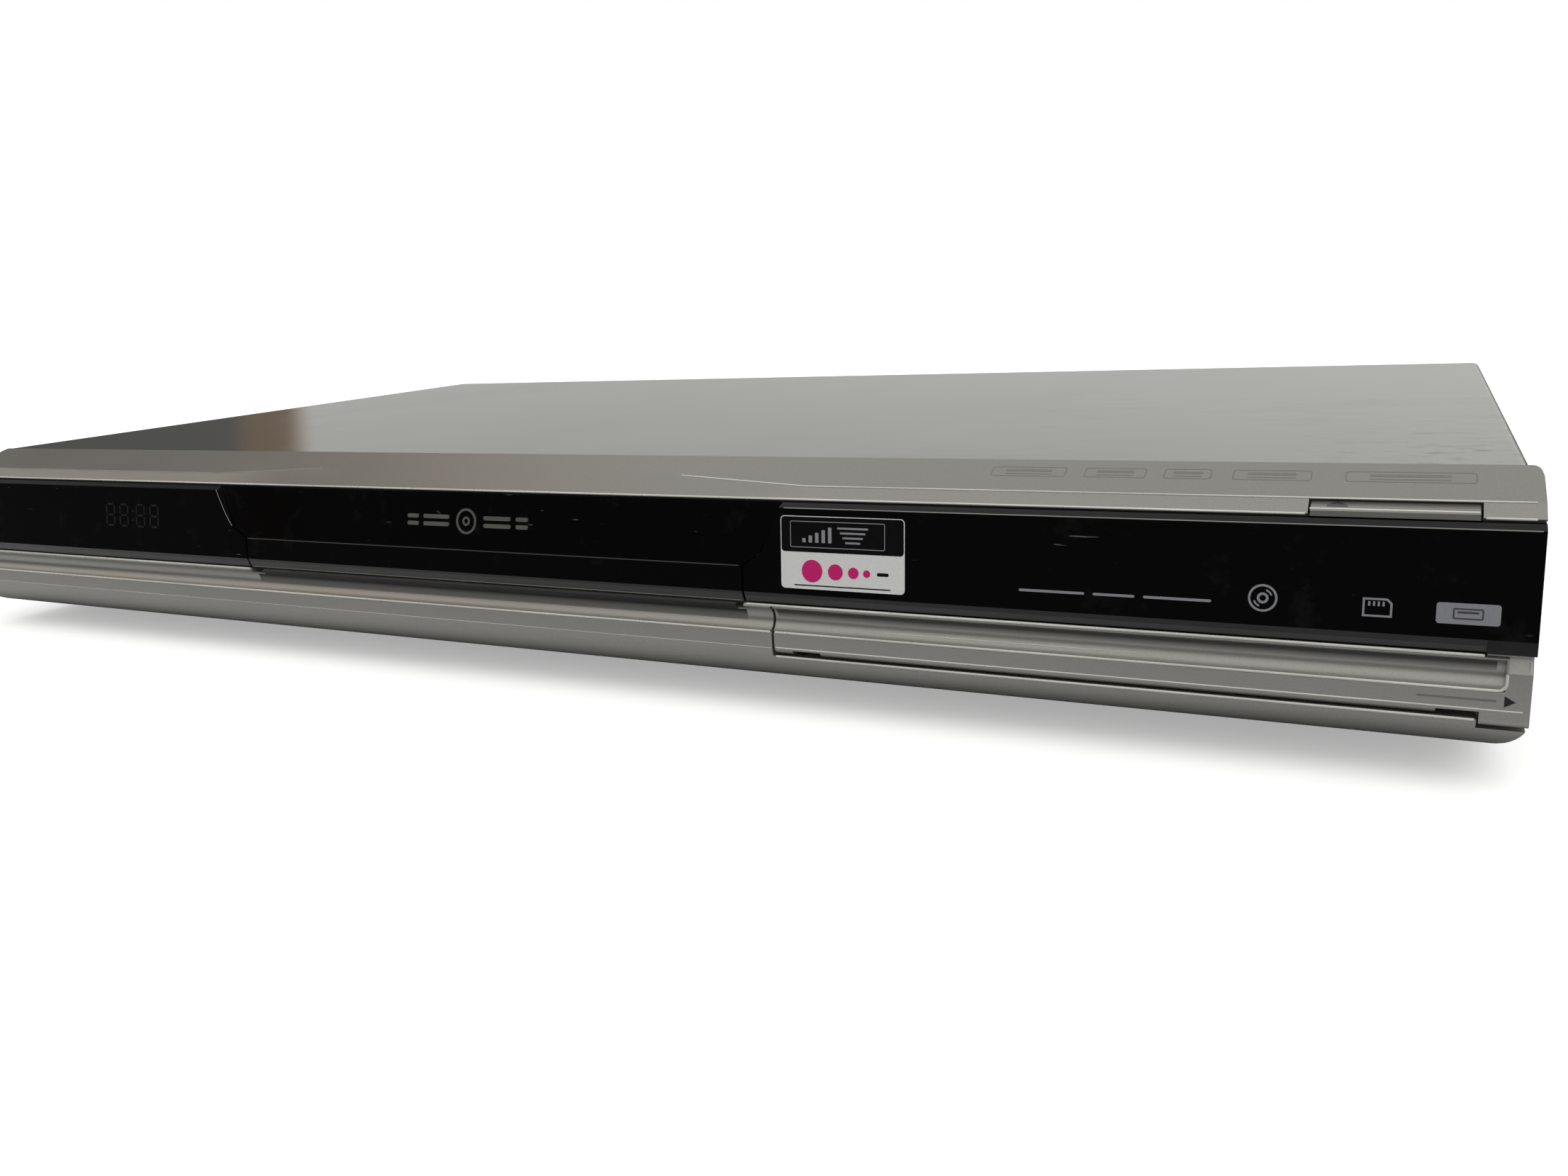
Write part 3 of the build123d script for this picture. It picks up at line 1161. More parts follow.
with BuildPart() as drive_frame:
    frame_y = (FRAME_FRONT_Y, FRAME_REAR_Y)
    wall_in = FRAME_HALF - FRAME_WALL
    for side in (-1, 1):
        block(frame_side(side, wall_in, FRAME_HALF), frame_y, (FRAME_LOW_Z, FRAME_TOP_Z))
        ledge = frame_side(side, TRAY_HALF - TRAY_SKIRT, FRAME_HALF)
        block(ledge, frame_y, (RAIL_TOP_Z - LEDGE_THICK, RAIL_TOP_Z))
        rib_y = FRAME_FRONT_Y + RIB_THICK / 2
        while rib_y < FRAME_REAR_Y:
            rib = (rib_y - RIB_THICK / 2, rib_y + RIB_THICK / 2)
            block(frame_side(side, TRAY_HALF + TRAY_SIDE_GAP, FRAME_HALF), rib, (RAIL_TOP_Z, FRAME_TOP_Z))
            rib_y += RIB_PITCH
        for tab_y in TAB_Y:
            tab = (tab_y - TAB_LONG / 2, tab_y + TAB_LONG / 2)
            tab_z = (TAB_LOW_Z, TAB_LOW_Z + LEDGE_THICK)
            block(frame_side(side, TRAY_HALF - 2.5, FRAME_HALF), tab, tab_z)
        block(
            frame_side(side, INNER_WALL_X, FRAME_HALF),
            (DECK_REAR_Y - 2, FRAME_REAR_Y),
            (FRAME_LOW_Z, FRAME_LOW_Z + SHELF_THICK),
        )
        inner = frame_side(side, INNER_WALL_X, INNER_WALL_X + INNER_WALL)
        block(inner, (INNER_FRONT_Y, FRAME_REAR_Y), (FRAME_LOW_Z, CAM_HIGH_Z))
    # Gear deck, the wall in front of the cam plate and the strip that it slides on
    block(frame_span(-wall_in, wall_in), (FRAME_FRONT_Y, DECK_REAR_Y), (DECK_LOW_Z, DECK_TOP_Z))
    guide_y = (DECK_REAR_Y - CAM_GUIDE, DECK_REAR_Y)
    block(frame_span(-wall_in, wall_in), guide_y, (FRAME_LOW_Z, CAM_HIGH_Z))
    shelf_y = (guide_y[0], INNER_FRONT_Y + 1)
    block(frame_span(-wall_in, wall_in), shelf_y, (FRAME_LOW_Z, CAM_LOW_Z - RUN_GAP))
    for hook_x in (-30.0, 30.0):
        hook = frame_span(hook_x - 4, hook_x + 4)
        block(hook, (guide_y[0], CAM_Y[1]), (CAM_HIGH_Z + RUN_GAP, CAM_HIGH_Z + RUN_GAP + 1.4))
        block(hook, guide_y, (CAM_HIGH_Z - 1, CAM_HIGH_Z + RUN_GAP + 1.4))
    # Rear wall and rear deck
    rear_wall = (FRAME_REAR_Y - FRAME_WALL, FRAME_REAR_Y)
    block(frame_span(-wall_in, wall_in), rear_wall, (FRAME_LOW_Z, CAM_HIGH_Z))
    rear_deck = (PIVOT_Y + 12, FRAME_REAR_Y)
    block(frame_span(-wall_in, wall_in), rear_deck, (FRAME_LOW_Z, FRAME_LOW_Z + SHELF_THICK))
    # Open the deck round the belt motor's shaft and put up the gear posts
    post(MOTOR_X, GEAR_Y, (DECK_LOW_Z - 1, DECK_TOP_Z + 1), SHAFT + 2, Mode.SUBTRACT)
    post(PINION_X, GEAR_Y, (DECK_LOW_Z, PINION_TOP_Z + 0.4), GEAR_POST)
    post(TRAY_GEAR_X, GEAR_Y, (DECK_LOW_Z, TRAY_GEAR_TOP_Z), GEAR_POST)
    bar_x(frame_span(-FRAME_HALF, FRAME_HALF), PIVOT_Y, PIVOT_Z, PIVOT_PIN + PIN_FIT, Mode.SUBTRACT)
drive_frame.part.label = "drive_frame"
export_step(drive_frame.part, "parts/drive_frame.step")

# Belt motor and the gear train that drives the tray's rack
MOTOR_LOW_Z = BASE_TOP_Z + 0.8
MOTOR_TOP_Z = DECK_LOW_Z - 0.3
GROOVE_DEEP = 1.4
BELT_GAP = 0.3
BELT_Z = (PULLEY_LOW_Z + 1.0, PULLEY_HIGH_Z - 1.0)
FLANGE = 0.7
MOTOR_PULLEY = MOTOR_PULLEY_RADIUS + 0.9

with BuildPart() as loading_motor:
    post(MOTOR_X, GEAR_Y, (MOTOR_LOW_Z, MOTOR_TOP_Z), MOTOR_RADIUS)
    post(MOTOR_X, GEAR_Y, (MOTOR_TOP_Z - 4, MOTOR_TOP_Z + 1), SHAFT + PIN_FIT, Mode.SUBTRACT)
    for side in (-1, 1):
        block(
            (MOTOR_X + side * MOTOR_RADIUS - 2, MOTOR_X + side * MOTOR_RADIUS + 2),
            (GEAR_Y - 3, GEAR_Y + 3),
            (MOTOR_TOP_Z - 1, MOTOR_TOP_Z),
        )
loading_motor.part.label = "loading_motor"
export_step(loading_motor.part, "parts/loading_motor.step")


def grooved_pulley(x, radius):
    # A flat pulley with two flanges and a groove for the belt
    post(x, GEAR_Y, (PULLEY_LOW_Z, PULLEY_LOW_Z + FLANGE), radius)
    post(x, GEAR_Y, (PULLEY_LOW_Z, PULLEY_HIGH_Z), radius - GROOVE_DEEP)
    post(x, GEAR_Y, (PULLEY_HIGH_Z - FLANGE, PULLEY_HIGH_Z), radius)


with BuildPart() as motor_pulley:
    grooved_pulley(MOTOR_X, MOTOR_PULLEY)
    post(MOTOR_X, GEAR_Y, (MOTOR_TOP_Z - 3, PULLEY_HIGH_Z + 0.5), SHAFT)
motor_pulley.part.label = "motor_pulley"
export_step(motor_pulley.part, "parts/motor_pulley.step")


def belt_loop(large, small):
    # Outline of a belt stretched round the two pulleys
    with BuildSketch(Plane.XY.offset(BELT_Z[0])) as sketch:
        with Locations((PINION_X, GEAR_Y)):
            Circle(large)
        with Locations((MOTOR_X, GEAR_Y)):
            Circle(small)
        make_hull()
    return sketch.sketch


with BuildPart() as drive_belt:
    large = PULLEY_RADIUS - GROOVE_DEEP + BELT_GAP
    small = MOTOR_PULLEY - GROOVE_DEEP + BELT_GAP
    belt_tall = BELT_Z[1] - BELT_Z[0]
    extrude(belt_loop(large + BELT, small + BELT), amount=belt_tall, dir=(0, 0, 1))
    extrude(belt_loop(large, small), amount=belt_tall, dir=(0, 0, 1), mode=Mode.SUBTRACT)
drive_belt.part.label = "drive_belt"
export_step(drive_belt.part, "parts/drive_belt.step")

with BuildPart() as pulley_gear:
    grooved_pulley(PINION_X, PULLEY_RADIUS)
    pinion = gear_face(PINION_X, GEAR_Y, PULLEY_HIGH_Z, PINION_TEETH, pi)
    extrude(pinion, amount=PINION_TOP_Z - PULLEY_HIGH_Z, dir=(0, 0, 1))
    post(PINION_X, GEAR_Y, (DECK_TOP_Z, PINION_TOP_Z + 1), GEAR_POST + PIN_FIT, Mode.SUBTRACT)
pulley_gear.part.label = "pulley_gear"
export_step(pulley_gear.part, "parts/pulley_gear.step")

with BuildPart() as tray_gear:
    wheel = gear_face(TRAY_GEAR_X, GEAR_Y, TRAY_GEAR_LOW_Z, TRAY_GEAR_TEETH, pi + pi / TRAY_GEAR_TEETH)
    extrude(wheel, amount=TRAY_GEAR_TOP_Z - TRAY_GEAR_LOW_Z, dir=(0, 0, 1))
    post(TRAY_GEAR_X, GEAR_Y, (DECK_TOP_Z + RUN_GAP, TRAY_GEAR_LOW_Z), GEAR_POST + 1.6)
    post(TRAY_GEAR_X, GEAR_Y, (DECK_TOP_Z, TRAY_GEAR_TOP_Z + 1), GEAR_POST + PIN_FIT, Mode.SUBTRACT)
tray_gear.part.label = "tray_gear"
export_step(tray_gear.part, "parts/tray_gear.step")

# Disc tray with the rack under its left side
RACK_X = DRIVE_X + RACK_OFFSET
RACK_LOW_Z = RAIL_TOP_Z + 0.6
RACK_END_Y = GEAR_Y + TRAY_TRAVEL + 4.0
SLOT_LONG = 64.0
SLOT_REAR_Y = DISC_Y + SLOT_LONG
TRAY_FLOOR = SMALL_DISC_SEAT_Z - TRAY_FLOOR_Z


def rack_outline():
    # Flat outline of the rack: bar on the left and teeth to the right
    pitch = pi * MODULE
    half = pitch / 4 - BACKLASH / 2
    tip_half = half - ADDENDUM * tan(PRESSURE)
    root_half = half + DEDENDUM * tan(PRESSURE)
    root_x = RACK_X - DEDENDUM * MODULE
    tip_x = RACK_X + ADDENDUM * MODULE
    first = -int((GEAR_Y - TRAY_FRONT_Y - TRAY_SKIRT - 2) / pitch)
    last = int((RACK_END_Y - GEAR_Y) / pitch)
    points = [(root_x - RACK_BAR, GEAR_Y + (first - 0.5) * pitch)]
    for index in range(first, last + 1):
        middle = GEAR_Y + index * pitch
        points.append((root_x, middle - root_half))
        points.append((tip_x, middle - tip_half))
        points.append((tip_x, middle + tip_half))
        points.append((root_x, middle + root_half))
    points.append((root_x - RACK_BAR, GEAR_Y + (last + 0.5) * pitch))
    return points


with BuildPart() as disc_tray:
    tray_x = frame_span(-TRAY_HALF, TRAY_HALF)
    tray_y = (TRAY_FRONT_Y, TRAY_REAR_Y)
    block(tray_x, tray_y, (TRAY_LOW_Z, TRAY_TOP_Z))
    post(DRIVE_X, DISC_Y, (DISC_SEAT_Z, TRAY_TOP_Z + 1), DISC_RADIUS + DISC_PLAY, Mode.SUBTRACT)
    post(DRIVE_X, DISC_Y, (SMALL_DISC_SEAT_Z, TRAY_TOP_Z + 1), SMALL_DISC_RADIUS, Mode.SUBTRACT)
    # Finger dips beside the disc
    for side in (-1, 1):
        block(
            frame_side(side, TRAY_HALF - 22, TRAY_HALF - 2),
            (DISC_Y - 12, DISC_Y + 12),
            (SMALL_DISC_SEAT_Z, TRAY_TOP_Z + 1),
            Mode.SUBTRACT,
        )
    slot_z = (TRAY_LOW_Z - 1, TRAY_TOP_Z)
    block(frame_span(-WINDOW_HALF, WINDOW_HALF), (DISC_Y, SLOT_REAR_Y), slot_z, Mode.SUBTRACT)
    post(DRIVE_X, DISC_Y, slot_z, WINDOW_HALF, Mode.SUBTRACT)
    block(
        frame_span(-TRAY_HALF + TRAY_SKIRT, TRAY_HALF - TRAY_SKIRT),
        (TRAY_FRONT_Y + TRAY_SKIRT, TRAY_REAR_Y + 1),
        (TRAY_LOW_Z - 1, TRAY_FLOOR_Z),
        Mode.SUBTRACT,
    )
    # Hollow the thick rear of the tray from above
    block(
        frame_span(-TRAY_HALF + TRAY_SKIRT, TRAY_HALF - TRAY_SKIRT),
        (SLOT_REAR_Y + 4, TRAY_REAR_Y - TRAY_SKIRT),
        (TRAY_FLOOR_Z + TRAY_FLOOR, TRAY_TOP_Z + 1),
        Mode.SUBTRACT,
    )
    with BuildSketch(Plane.XY.offset(RACK_LOW_Z)):
        with BuildLine():
            Polyline(*rack_outline(), close=True)
        make_face()
    extrude(amount=TRAY_FLOOR_Z - RACK_LOW_Z)
disc_tray.part.label = "disc_tray"
export_step(disc_tray.part, "parts/disc_tray.step")

# Cam plate: slides sideways, its two slanted slots lift the traverse's pins
with BuildPart() as cam_slider:
    block(CAM_X, CAM_Y, (CAM_LOW_Z, CAM_HIGH_Z))
    for side in (-1, 1):
        slot_x = DRIVE_X + side * CAM_PIN_X
        with BuildSketch(Plane.XZ.offset(-CAM_Y[1] - 1)) as cam_slot:
            with Locations((slot_x, PIN_REST_Z), (slot_x - CAM_TRAVEL, PIN_UP_Z)):
                Circle(CAM_PIN + CAM_SLOT_GAP)
            make_hull()
        extrude(cam_slot.sketch, amount=CAM_PLATE + 2, dir=(0, -1, 0), mode=Mode.SUBTRACT)
cam_slider.part.label = "cam_slider"
export_step(cam_slider.part, "parts/cam_slider.step")

# Tilting traverse, drawn in its own plane: Y runs from the hinge (0) to the front (negative)
DECK_FRONT = -DECK_LENGTH + 2.0
DECK_REAR = 6.0
TABLE_Y = DISC_Y - PIVOT_Y
LENS_Y = TABLE_Y + LENS_INNER
OPENING_FRONT = TABLE_Y + 11.0
OPENING_REAR = LENS_Y + SLED_TRAVEL + SLED_BACK + 4.0
SIDE_FLANGE = 2.4
SIDE_DEEP = 5.0
BRACKET = 3.0
BRACKET_HALF = 2.7
SCREW_RADIUS = 2.0
JOURNAL = 1.0
PLATE_TOP = DECK_PLATE / 2
BRACKET_FRONT = (OPENING_FRONT - BRACKET, OPENING_FRONT)
BRACKET_REAR = (OPENING_REAR, OPENING_REAR + BRACKET)

with BuildPart(TRAVERSE) as traverse_frame:
    deck_y = (DECK_FRONT, DECK_REAR)
    block((-DECK_HALF, DECK_HALF), deck_y, (-PLATE_TOP, PLATE_TOP))
    block((-DECK_HALF + 3.5, DECK_HALF - 3.5), (OPENING_FRONT, OPENING_REAR), (-3, 3), Mode.SUBTRACT)
    for side in (-1, 1):
        flange = mirror_span(side, DECK_HALF - SIDE_FLANGE, DECK_HALF)
        block(flange, deck_y, (-SIDE_DEEP, PLATE_TOP))
        block(flange, (-PIVOT_PIN - 3, PIVOT_PIN + 3), (-PIVOT_PIN - 1, PIVOT_PIN + 0.2))
        bar_x(mirror_span(side, DECK_HALF - 1, INNER_WALL_X + INNER_WALL - 0.2), 0, 0, PIVOT_PIN)
        pin_y = (DECK_FRONT - 6.4, DECK_FRONT)
        bar_y(side * CAM_PIN_X, pin_y, PIN_LOCAL_Z, CAM_PIN)
        block(
            (side * CAM_PIN_X - 3, side * CAM_PIN_X + 3),
            (DECK_FRONT, DECK_FRONT + SIDE_FLANGE),
            (-SIDE_DEEP, PIN_LOCAL_Z + 3),
        )
        for bracket_y in (BRACKET_FRONT, BRACKET_REAR):
            block(
                (side * ROD_X - BRACKET_HALF, side * ROD_X + BRACKET_HALF),
                bracket_y,
                (-PLATE_TOP, ROD_Z + BRACKET_HALF),
            )
            cradle = ROD_RADIUS + PIN_FIT
            cradle_x = (side * ROD_X - cradle, side * ROD_X + cradle)
            block(cradle_x, bracket_y, (ROD_Z - cradle, ROD_Z + BRACKET_HALF + 1), Mode.SUBTRACT)
    for end_y in ((DECK_FRONT, DECK_FRONT + SIDE_FLANGE), (DECK_REAR - SIDE_FLANGE, DECK_REAR)):
        block((-DECK_HALF, DECK_HALF), end_y, (-SIDE_DEEP, PLATE_TOP))
    bearing_x = (SCREW_X - BRACKET_HALF, SCREW_X + BRACKET_HALF)
    block(bearing_x, BRACKET_FRONT, (-PLATE_TOP, ROD_Z + BRACKET_HALF))
    bar_y(SCREW_X, BRACKET_FRONT, ROD_Z, JOURNAL + PIN_FIT, Mode.SUBTRACT)
traverse_frame.part.label = "traverse_frame"
export_step(traverse_frame.part, "parts/traverse_frame.step")

TABLE_TOP = TABLE_Z - PIVOT_Z
TABLE_THICK = 2.0
ROTOR_LOW = PLATE_TOP + 1.6
ROTOR_TOP = PLATE_TOP + 8.0
ROTOR_SKIN = 0.9
STATOR_RADIUS = 9.0
MOTOR_PLATE_HALF = 16.0
MOTOR_PLATE_FRONT = 14.0

with BuildPart(TRAVERSE) as spindle_motor:
    plate_x = (-MOTOR_PLATE_HALF, MOTOR_PLATE_HALF)
    block(plate_x, (TABLE_Y - MOTOR_PLATE_FRONT, OPENING_FRONT), (PLATE_TOP, PLATE_TOP + 1.2))
    post(0, TABLE_Y, (PLATE_TOP + 1.2, ROTOR_TOP - 2.4), STATOR_RADIUS)
    post(0, TABLE_Y, (PLATE_TOP + 1.2, ROTOR_TOP - 1.4), 3.0)
    post(0, TABLE_Y, (PLATE_TOP + 1.2, ROTOR_TOP), SHAFT_RADIUS + PIN_FIT, Mode.SUBTRACT)
spindle_motor.part.label = "spindle_motor"
export_step(spindle_motor.part, "parts/spindle_motor.step")

with BuildPart(TRAVERSE) as turntable:
    post(0, TABLE_Y, (ROTOR_LOW, ROTOR_TOP), SPINDLE_RADIUS)
    post(0, TABLE_Y, (ROTOR_LOW - 1, ROTOR_TOP - ROTOR_SKIN), SPINDLE_RADIUS - ROTOR_SKIN, Mode.SUBTRACT)
    post(0, TABLE_Y, (PLATE_TOP + 1.6, TABLE_TOP), SHAFT_RADIUS)
    post(0, TABLE_Y, (ROTOR_TOP - ROTOR_SKIN, TABLE_TOP - TABLE_THICK), 6.0)
    post(0, TABLE_Y, (TABLE_TOP - TABLE_THICK, TABLE_TOP), TABLE_RADIUS)
    with Locations((0, TABLE_Y, TABLE_TOP)):
        stand = (Align.CENTER, Align.CENTER, Align.MIN)
        Cone(CONE_RADIUS, CONE_RADIUS - 2, CONE_HEIGHT, align=stand)
turntable.part.label = "turntable"
export_step(turntable.part, "parts/turntable.step")

SLED_LOW = PLATE_TOP + 0.8
SLED_TOP = SLED_LOW + 7.2
SLED_Y = (LENS_Y - SLED_FRONT, LENS_Y + SLED_BACK)
HOOD_TOP = SLED_TOP + 3.0
LENS_RADIUS = 3.2
HOOD_HALF = 9.0
HOOD_REACH = 8.5
WELL_BACK = 10.0

with BuildPart(TRAVERSE) as pickup_sled:
    block((-SLED_HALF, SLED_HALF), SLED_Y, (SLED_LOW, SLED_TOP))
    ear_z = (ROD_Z - ROD_RADIUS - 1.6, ROD_Z + ROD_RADIUS + 1.6)
    block((-ROD_X - ROD_RADIUS - 1.6, -SLED_HALF), SLED_Y, ear_z)
    ear_y = (LENS_Y - 2, LENS_Y + 10)
    block((SLED_HALF, ROD_X + ROD_RADIUS + 1.6), ear_y, ear_z)
    follower = (ROD_X, SCREW_X - SCREW_RADIUS - RUN_GAP)
    block(follower, (LENS_Y, LENS_Y + 8), (ROD_Z - ROD_RADIUS - 1.6, ROD_Z + 1.2))
    for side in (-1, 1):
        bar_y(side * ROD_X, grow(SLED_Y, 1), ROD_Z, ROD_RADIUS + PIN_FIT, Mode.SUBTRACT)
    block((-HOOD_HALF, HOOD_HALF), (LENS_Y - HOOD_REACH, LENS_Y + HOOD_REACH), (SLED_TOP, HOOD_TOP))
    post(0, LENS_Y, (HOOD_TOP - 1.5, HOOD_TOP), LENS_RADIUS + 1.6, Mode.SUBTRACT)
    # Hollow behind the hood, where the optics block sits open to the rear
    well_y = (LENS_Y + WELL_BACK, SLED_Y[1] - 2)
    block((-SLED_HALF + 3, SLED_HALF - 3), well_y, (SLED_TOP - 3, SLED_TOP), Mode.SUBTRACT)
pickup_sled.part.label = "pickup_sled"
export_step(pickup_sled.part, "parts/pickup_sled.step")

with BuildPart(TRAVERSE) as pickup_lens:
    post(0, LENS_Y, (HOOD_TOP - 1.5, HOOD_TOP + 1.4), LENS_RADIUS)
    chamfer(pickup_lens.edges().filter_by(GeomType.CIRCLE).sort_by(Axis.Z)[-1], 0.8)
pickup_lens.part.label = "pickup_lens"
export_step(pickup_lens.part, "parts/pickup_lens.step")

with BuildPart(TRAVERSE) as sled_guide_rods:
    for side in (-1, 1):
        bar_y(side * ROD_X, (BRACKET_FRONT[0] + 0.4, BRACKET_REAR[1] - 0.4), ROD_Z, ROD_RADIUS)
sled_guide_rods.part.label = "sled_guide_rods"
export_step(sled_guide_rods.part, "parts/sled_guide_rods.step")

SLED_MOTOR_RADIUS = 5.0
SLED_MOTOR_Y = (OPENING_REAR - 3.0, OPENING_REAR + 8.0)

with BuildPart(TRAVERSE) as lead_screw:
    bar_y(SCREW_X, (OPENING_FRONT + RUN_GAP, SLED_MOTOR_Y[0] - RUN_GAP), ROD_Z, SCREW_RADIUS)
    bar_y(SCREW_X, (BRACKET_FRONT[0] + 0.4, SLED_MOTOR_Y[0] + 3), ROD_Z, JOURNAL)
lead_screw.part.label = "lead_screw"
export_step(lead_screw.part, "parts/lead_screw.step")

with BuildPart(TRAVERSE) as sled_motor:
    bar_y(SCREW_X, SLED_MOTOR_Y, ROD_Z, SLED_MOTOR_RADIUS)
    bar_y(SCREW_X, (SLED_MOTOR_Y[0] - 1, SLED_MOTOR_Y[0] + 3.4), ROD_Z, JOURNAL + PIN_FIT, Mode.SUBTRACT)
sled_motor.part.label = "sled_motor"
export_step(sled_motor.part, "parts/sled_motor.step")

# Clamp that holds the disc from above
BRIDGE_Y = (DISC_Y - 18.0, DISC_Y + 18.0)
BRIDGE_TOP_Z = FRAME_TOP_Z + BRIDGE_THICK
CLAMP_PLATE = 1.8
BRIDGE_RIB_IN = 10.0
BRIDGE_HOLE_X = 44.0
BRIDGE_HOLE_HALF = 12.0

with BuildPart() as clamp_bridge:
    block(frame_span(-FRAME_HALF, FRAME_HALF), BRIDGE_Y, (FRAME_TOP_Z, BRIDGE_TOP_Z))
    for rib in ((BRIDGE_Y[0], BRIDGE_Y[0] + BRIDGE_THICK), (BRIDGE_Y[1] - BRIDGE_THICK, BRIDGE_Y[1])):
        rib_x = frame_span(BRIDGE_RIB_IN - FRAME_HALF, FRAME_HALF - BRIDGE_RIB_IN)
        block(rib_x, rib, (FRAME_TOP_Z, BRIDGE_TOP_Z + 2.4))
    post(DRIVE_X, DISC_Y, (FRAME_TOP_Z - 1, BRIDGE_TOP_Z + 1), CLAMP_NECK + RUN_GAP, Mode.SUBTRACT)
    hole_z = (FRAME_TOP_Z - 1, BRIDGE_TOP_Z + 1)
    for side in (-1, 1):
        hole_x = frame_side(side, BRIDGE_HOLE_X - BRIDGE_HOLE_HALF, BRIDGE_HOLE_X + BRIDGE_HOLE_HALF)
        block(hole_x, grow(BRIDGE_Y, -9), hole_z, Mode.SUBTRACT)
clamp_bridge.part.label = "clamp_bridge"
export_step(clamp_bridge.part, "parts/clamp_bridge.step")

with BuildPart() as disc_clamp:
    post(DRIVE_X, DISC_Y, (CLAMP_LOW_Z, CLAMP_LOW_Z + CLAMP_PLATE), CLAMP_RADIUS)
    post(DRIVE_X, DISC_Y, (CLAMP_LOW_Z, BRIDGE_TOP_Z + 2 * RUN_GAP), CLAMP_NECK)
    post(DRIVE_X, DISC_Y, (BRIDGE_TOP_Z + RUN_GAP, BRIDGE_TOP_Z + RUN_GAP + 1.2), CLAMP_RADIUS)
    cup_z = (CLAMP_LOW_Z - 1, CLAMP_LOW_Z + CONE_HEIGHT - 0.6)
    post(DRIVE_X, DISC_Y, cup_z, CONE_RADIUS + 1, Mode.SUBTRACT)
disc_clamp.part.label = "disc_clamp"
export_step(disc_clamp.part, "parts/disc_clamp.step")

# Main board with its cooler
CHIP_TALL = 2.2
COOLER_WIDE = 46.0
COOLER_LONG = 42.0
COOLER_SIDE_IN = 38.0
COOLER_FRONT_IN = 36.0
COOLER_RIGHT_X = MAIN_BOARD_X[1] - COOLER_SIDE_IN
COOLER_FRONT_Y = MAIN_BOARD_FRONT_Y + COOLER_FRONT_IN
COOLER_X = (COOLER_RIGHT_X - COOLER_WIDE, COOLER_RIGHT_X)
COOLER_Y = (COOLER_FRONT_Y, COOLER_FRONT_Y + COOLER_LONG)
COOLER_BASE = 2.6
COOLER_FIN = 1.4
COOLER_FINS = 11
COOLER_TALL = 16.0

with BuildPart() as main_board:
    block(MAIN_BOARD_X, (MAIN_BOARD_FRONT_Y, BOARD_REAR_Y), (BOARD_Z, SOCKET_Z))
    block((MAIN_BOARD_X[0], STRIP_RIGHT_X), (STRIP_FRONT_Y, BOARD_REAR_Y), (BOARD_Z, SOCKET_Z))
    block(grow(COOLER_X, -5), grow(COOLER_Y, -5), (SOCKET_Z, SOCKET_Z + CHIP_TALL))
main_board.part.label = "main_board"
export_step(main_board.part, "parts/main_board.step")

with BuildPart() as main_heatsink:
    cooler_low = SOCKET_Z + CHIP_TALL
    block(COOLER_X, COOLER_Y, (cooler_low, cooler_low + COOLER_BASE))
    step = (COOLER_X[1] - COOLER_X[0] - COOLER_FIN) / (COOLER_FINS - 1)
    for index in range(COOLER_FINS):
        fin_x = COOLER_X[0] + index * step
        block((fin_x, fin_x + COOLER_FIN), COOLER_Y, (cooler_low, cooler_low + COOLER_TALL))
main_heatsink.part.label = "main_heatsink"
export_step(main_heatsink.part, "parts/main_heatsink.step")

# Power supply
CORE = (34.0, 30.0, 26.0)
TRANSFORMER_IN = 56.0
BIG_CAN_IN = 82.0
BIG_CAN_RADIUS = 11.0
BIG_CAN_TALL = 31.0
TRANSFORMER = (share_of(PSU_X, 0.328125), PSU_Y[0] + TRANSFORMER_IN)
BIG_CAN = (share_of(PSU_X, 0.78125), PSU_Y[0] + BIG_CAN_IN)
SMALL_CAN_RADIUS = 5.0
SMALL_CAN_TALL = 20.0
SMALL_CAN_X = share_of(PSU_X, 0.09375)
SMALL_CAN_IN = 94.0
SMALL_CAN_PITCH = 16.0
SMALL_CAN_Y = [PSU_Y[0] + SMALL_CAN_IN + index * SMALL_CAN_PITCH for index in range(3)]
SINK_THICK = 2.0
SINK_TALL = 26.0
FRONT_SINK_IN = 10.0
FRONT_SINK_LONG = 70.0
REAR_SINK_IN = 14.0
REAR_SINK_LONG = 58.0
SINKS = (
    (share_of(PSU_X, 0.5625), PSU_Y[0] + FRONT_SINK_IN, PSU_Y[0] + FRONT_SINK_IN + FRONT_SINK_LONG),
    (share_of(PSU_X, 0.203125), PSU_Y[1] - REAR_SINK_IN - REAR_SINK_LONG, PSU_Y[1] - REAR_SINK_IN),
)

with BuildPart() as psu_board:
    block(PSU_X, PSU_Y, (BOARD_Z, SOCKET_Z))
    slit_x = (PSU_X[0] + 60, PSU_X[0] + 61.4)
    block(slit_x, (PSU_Y[0] + 12, PSU_Y[0] + 60), (BOARD_Z - 1, SOCKET_Z + 1), Mode.SUBTRACT)
psu_board.part.label = "psu_board"
export_step(psu_board.part, "parts/psu_board.step")

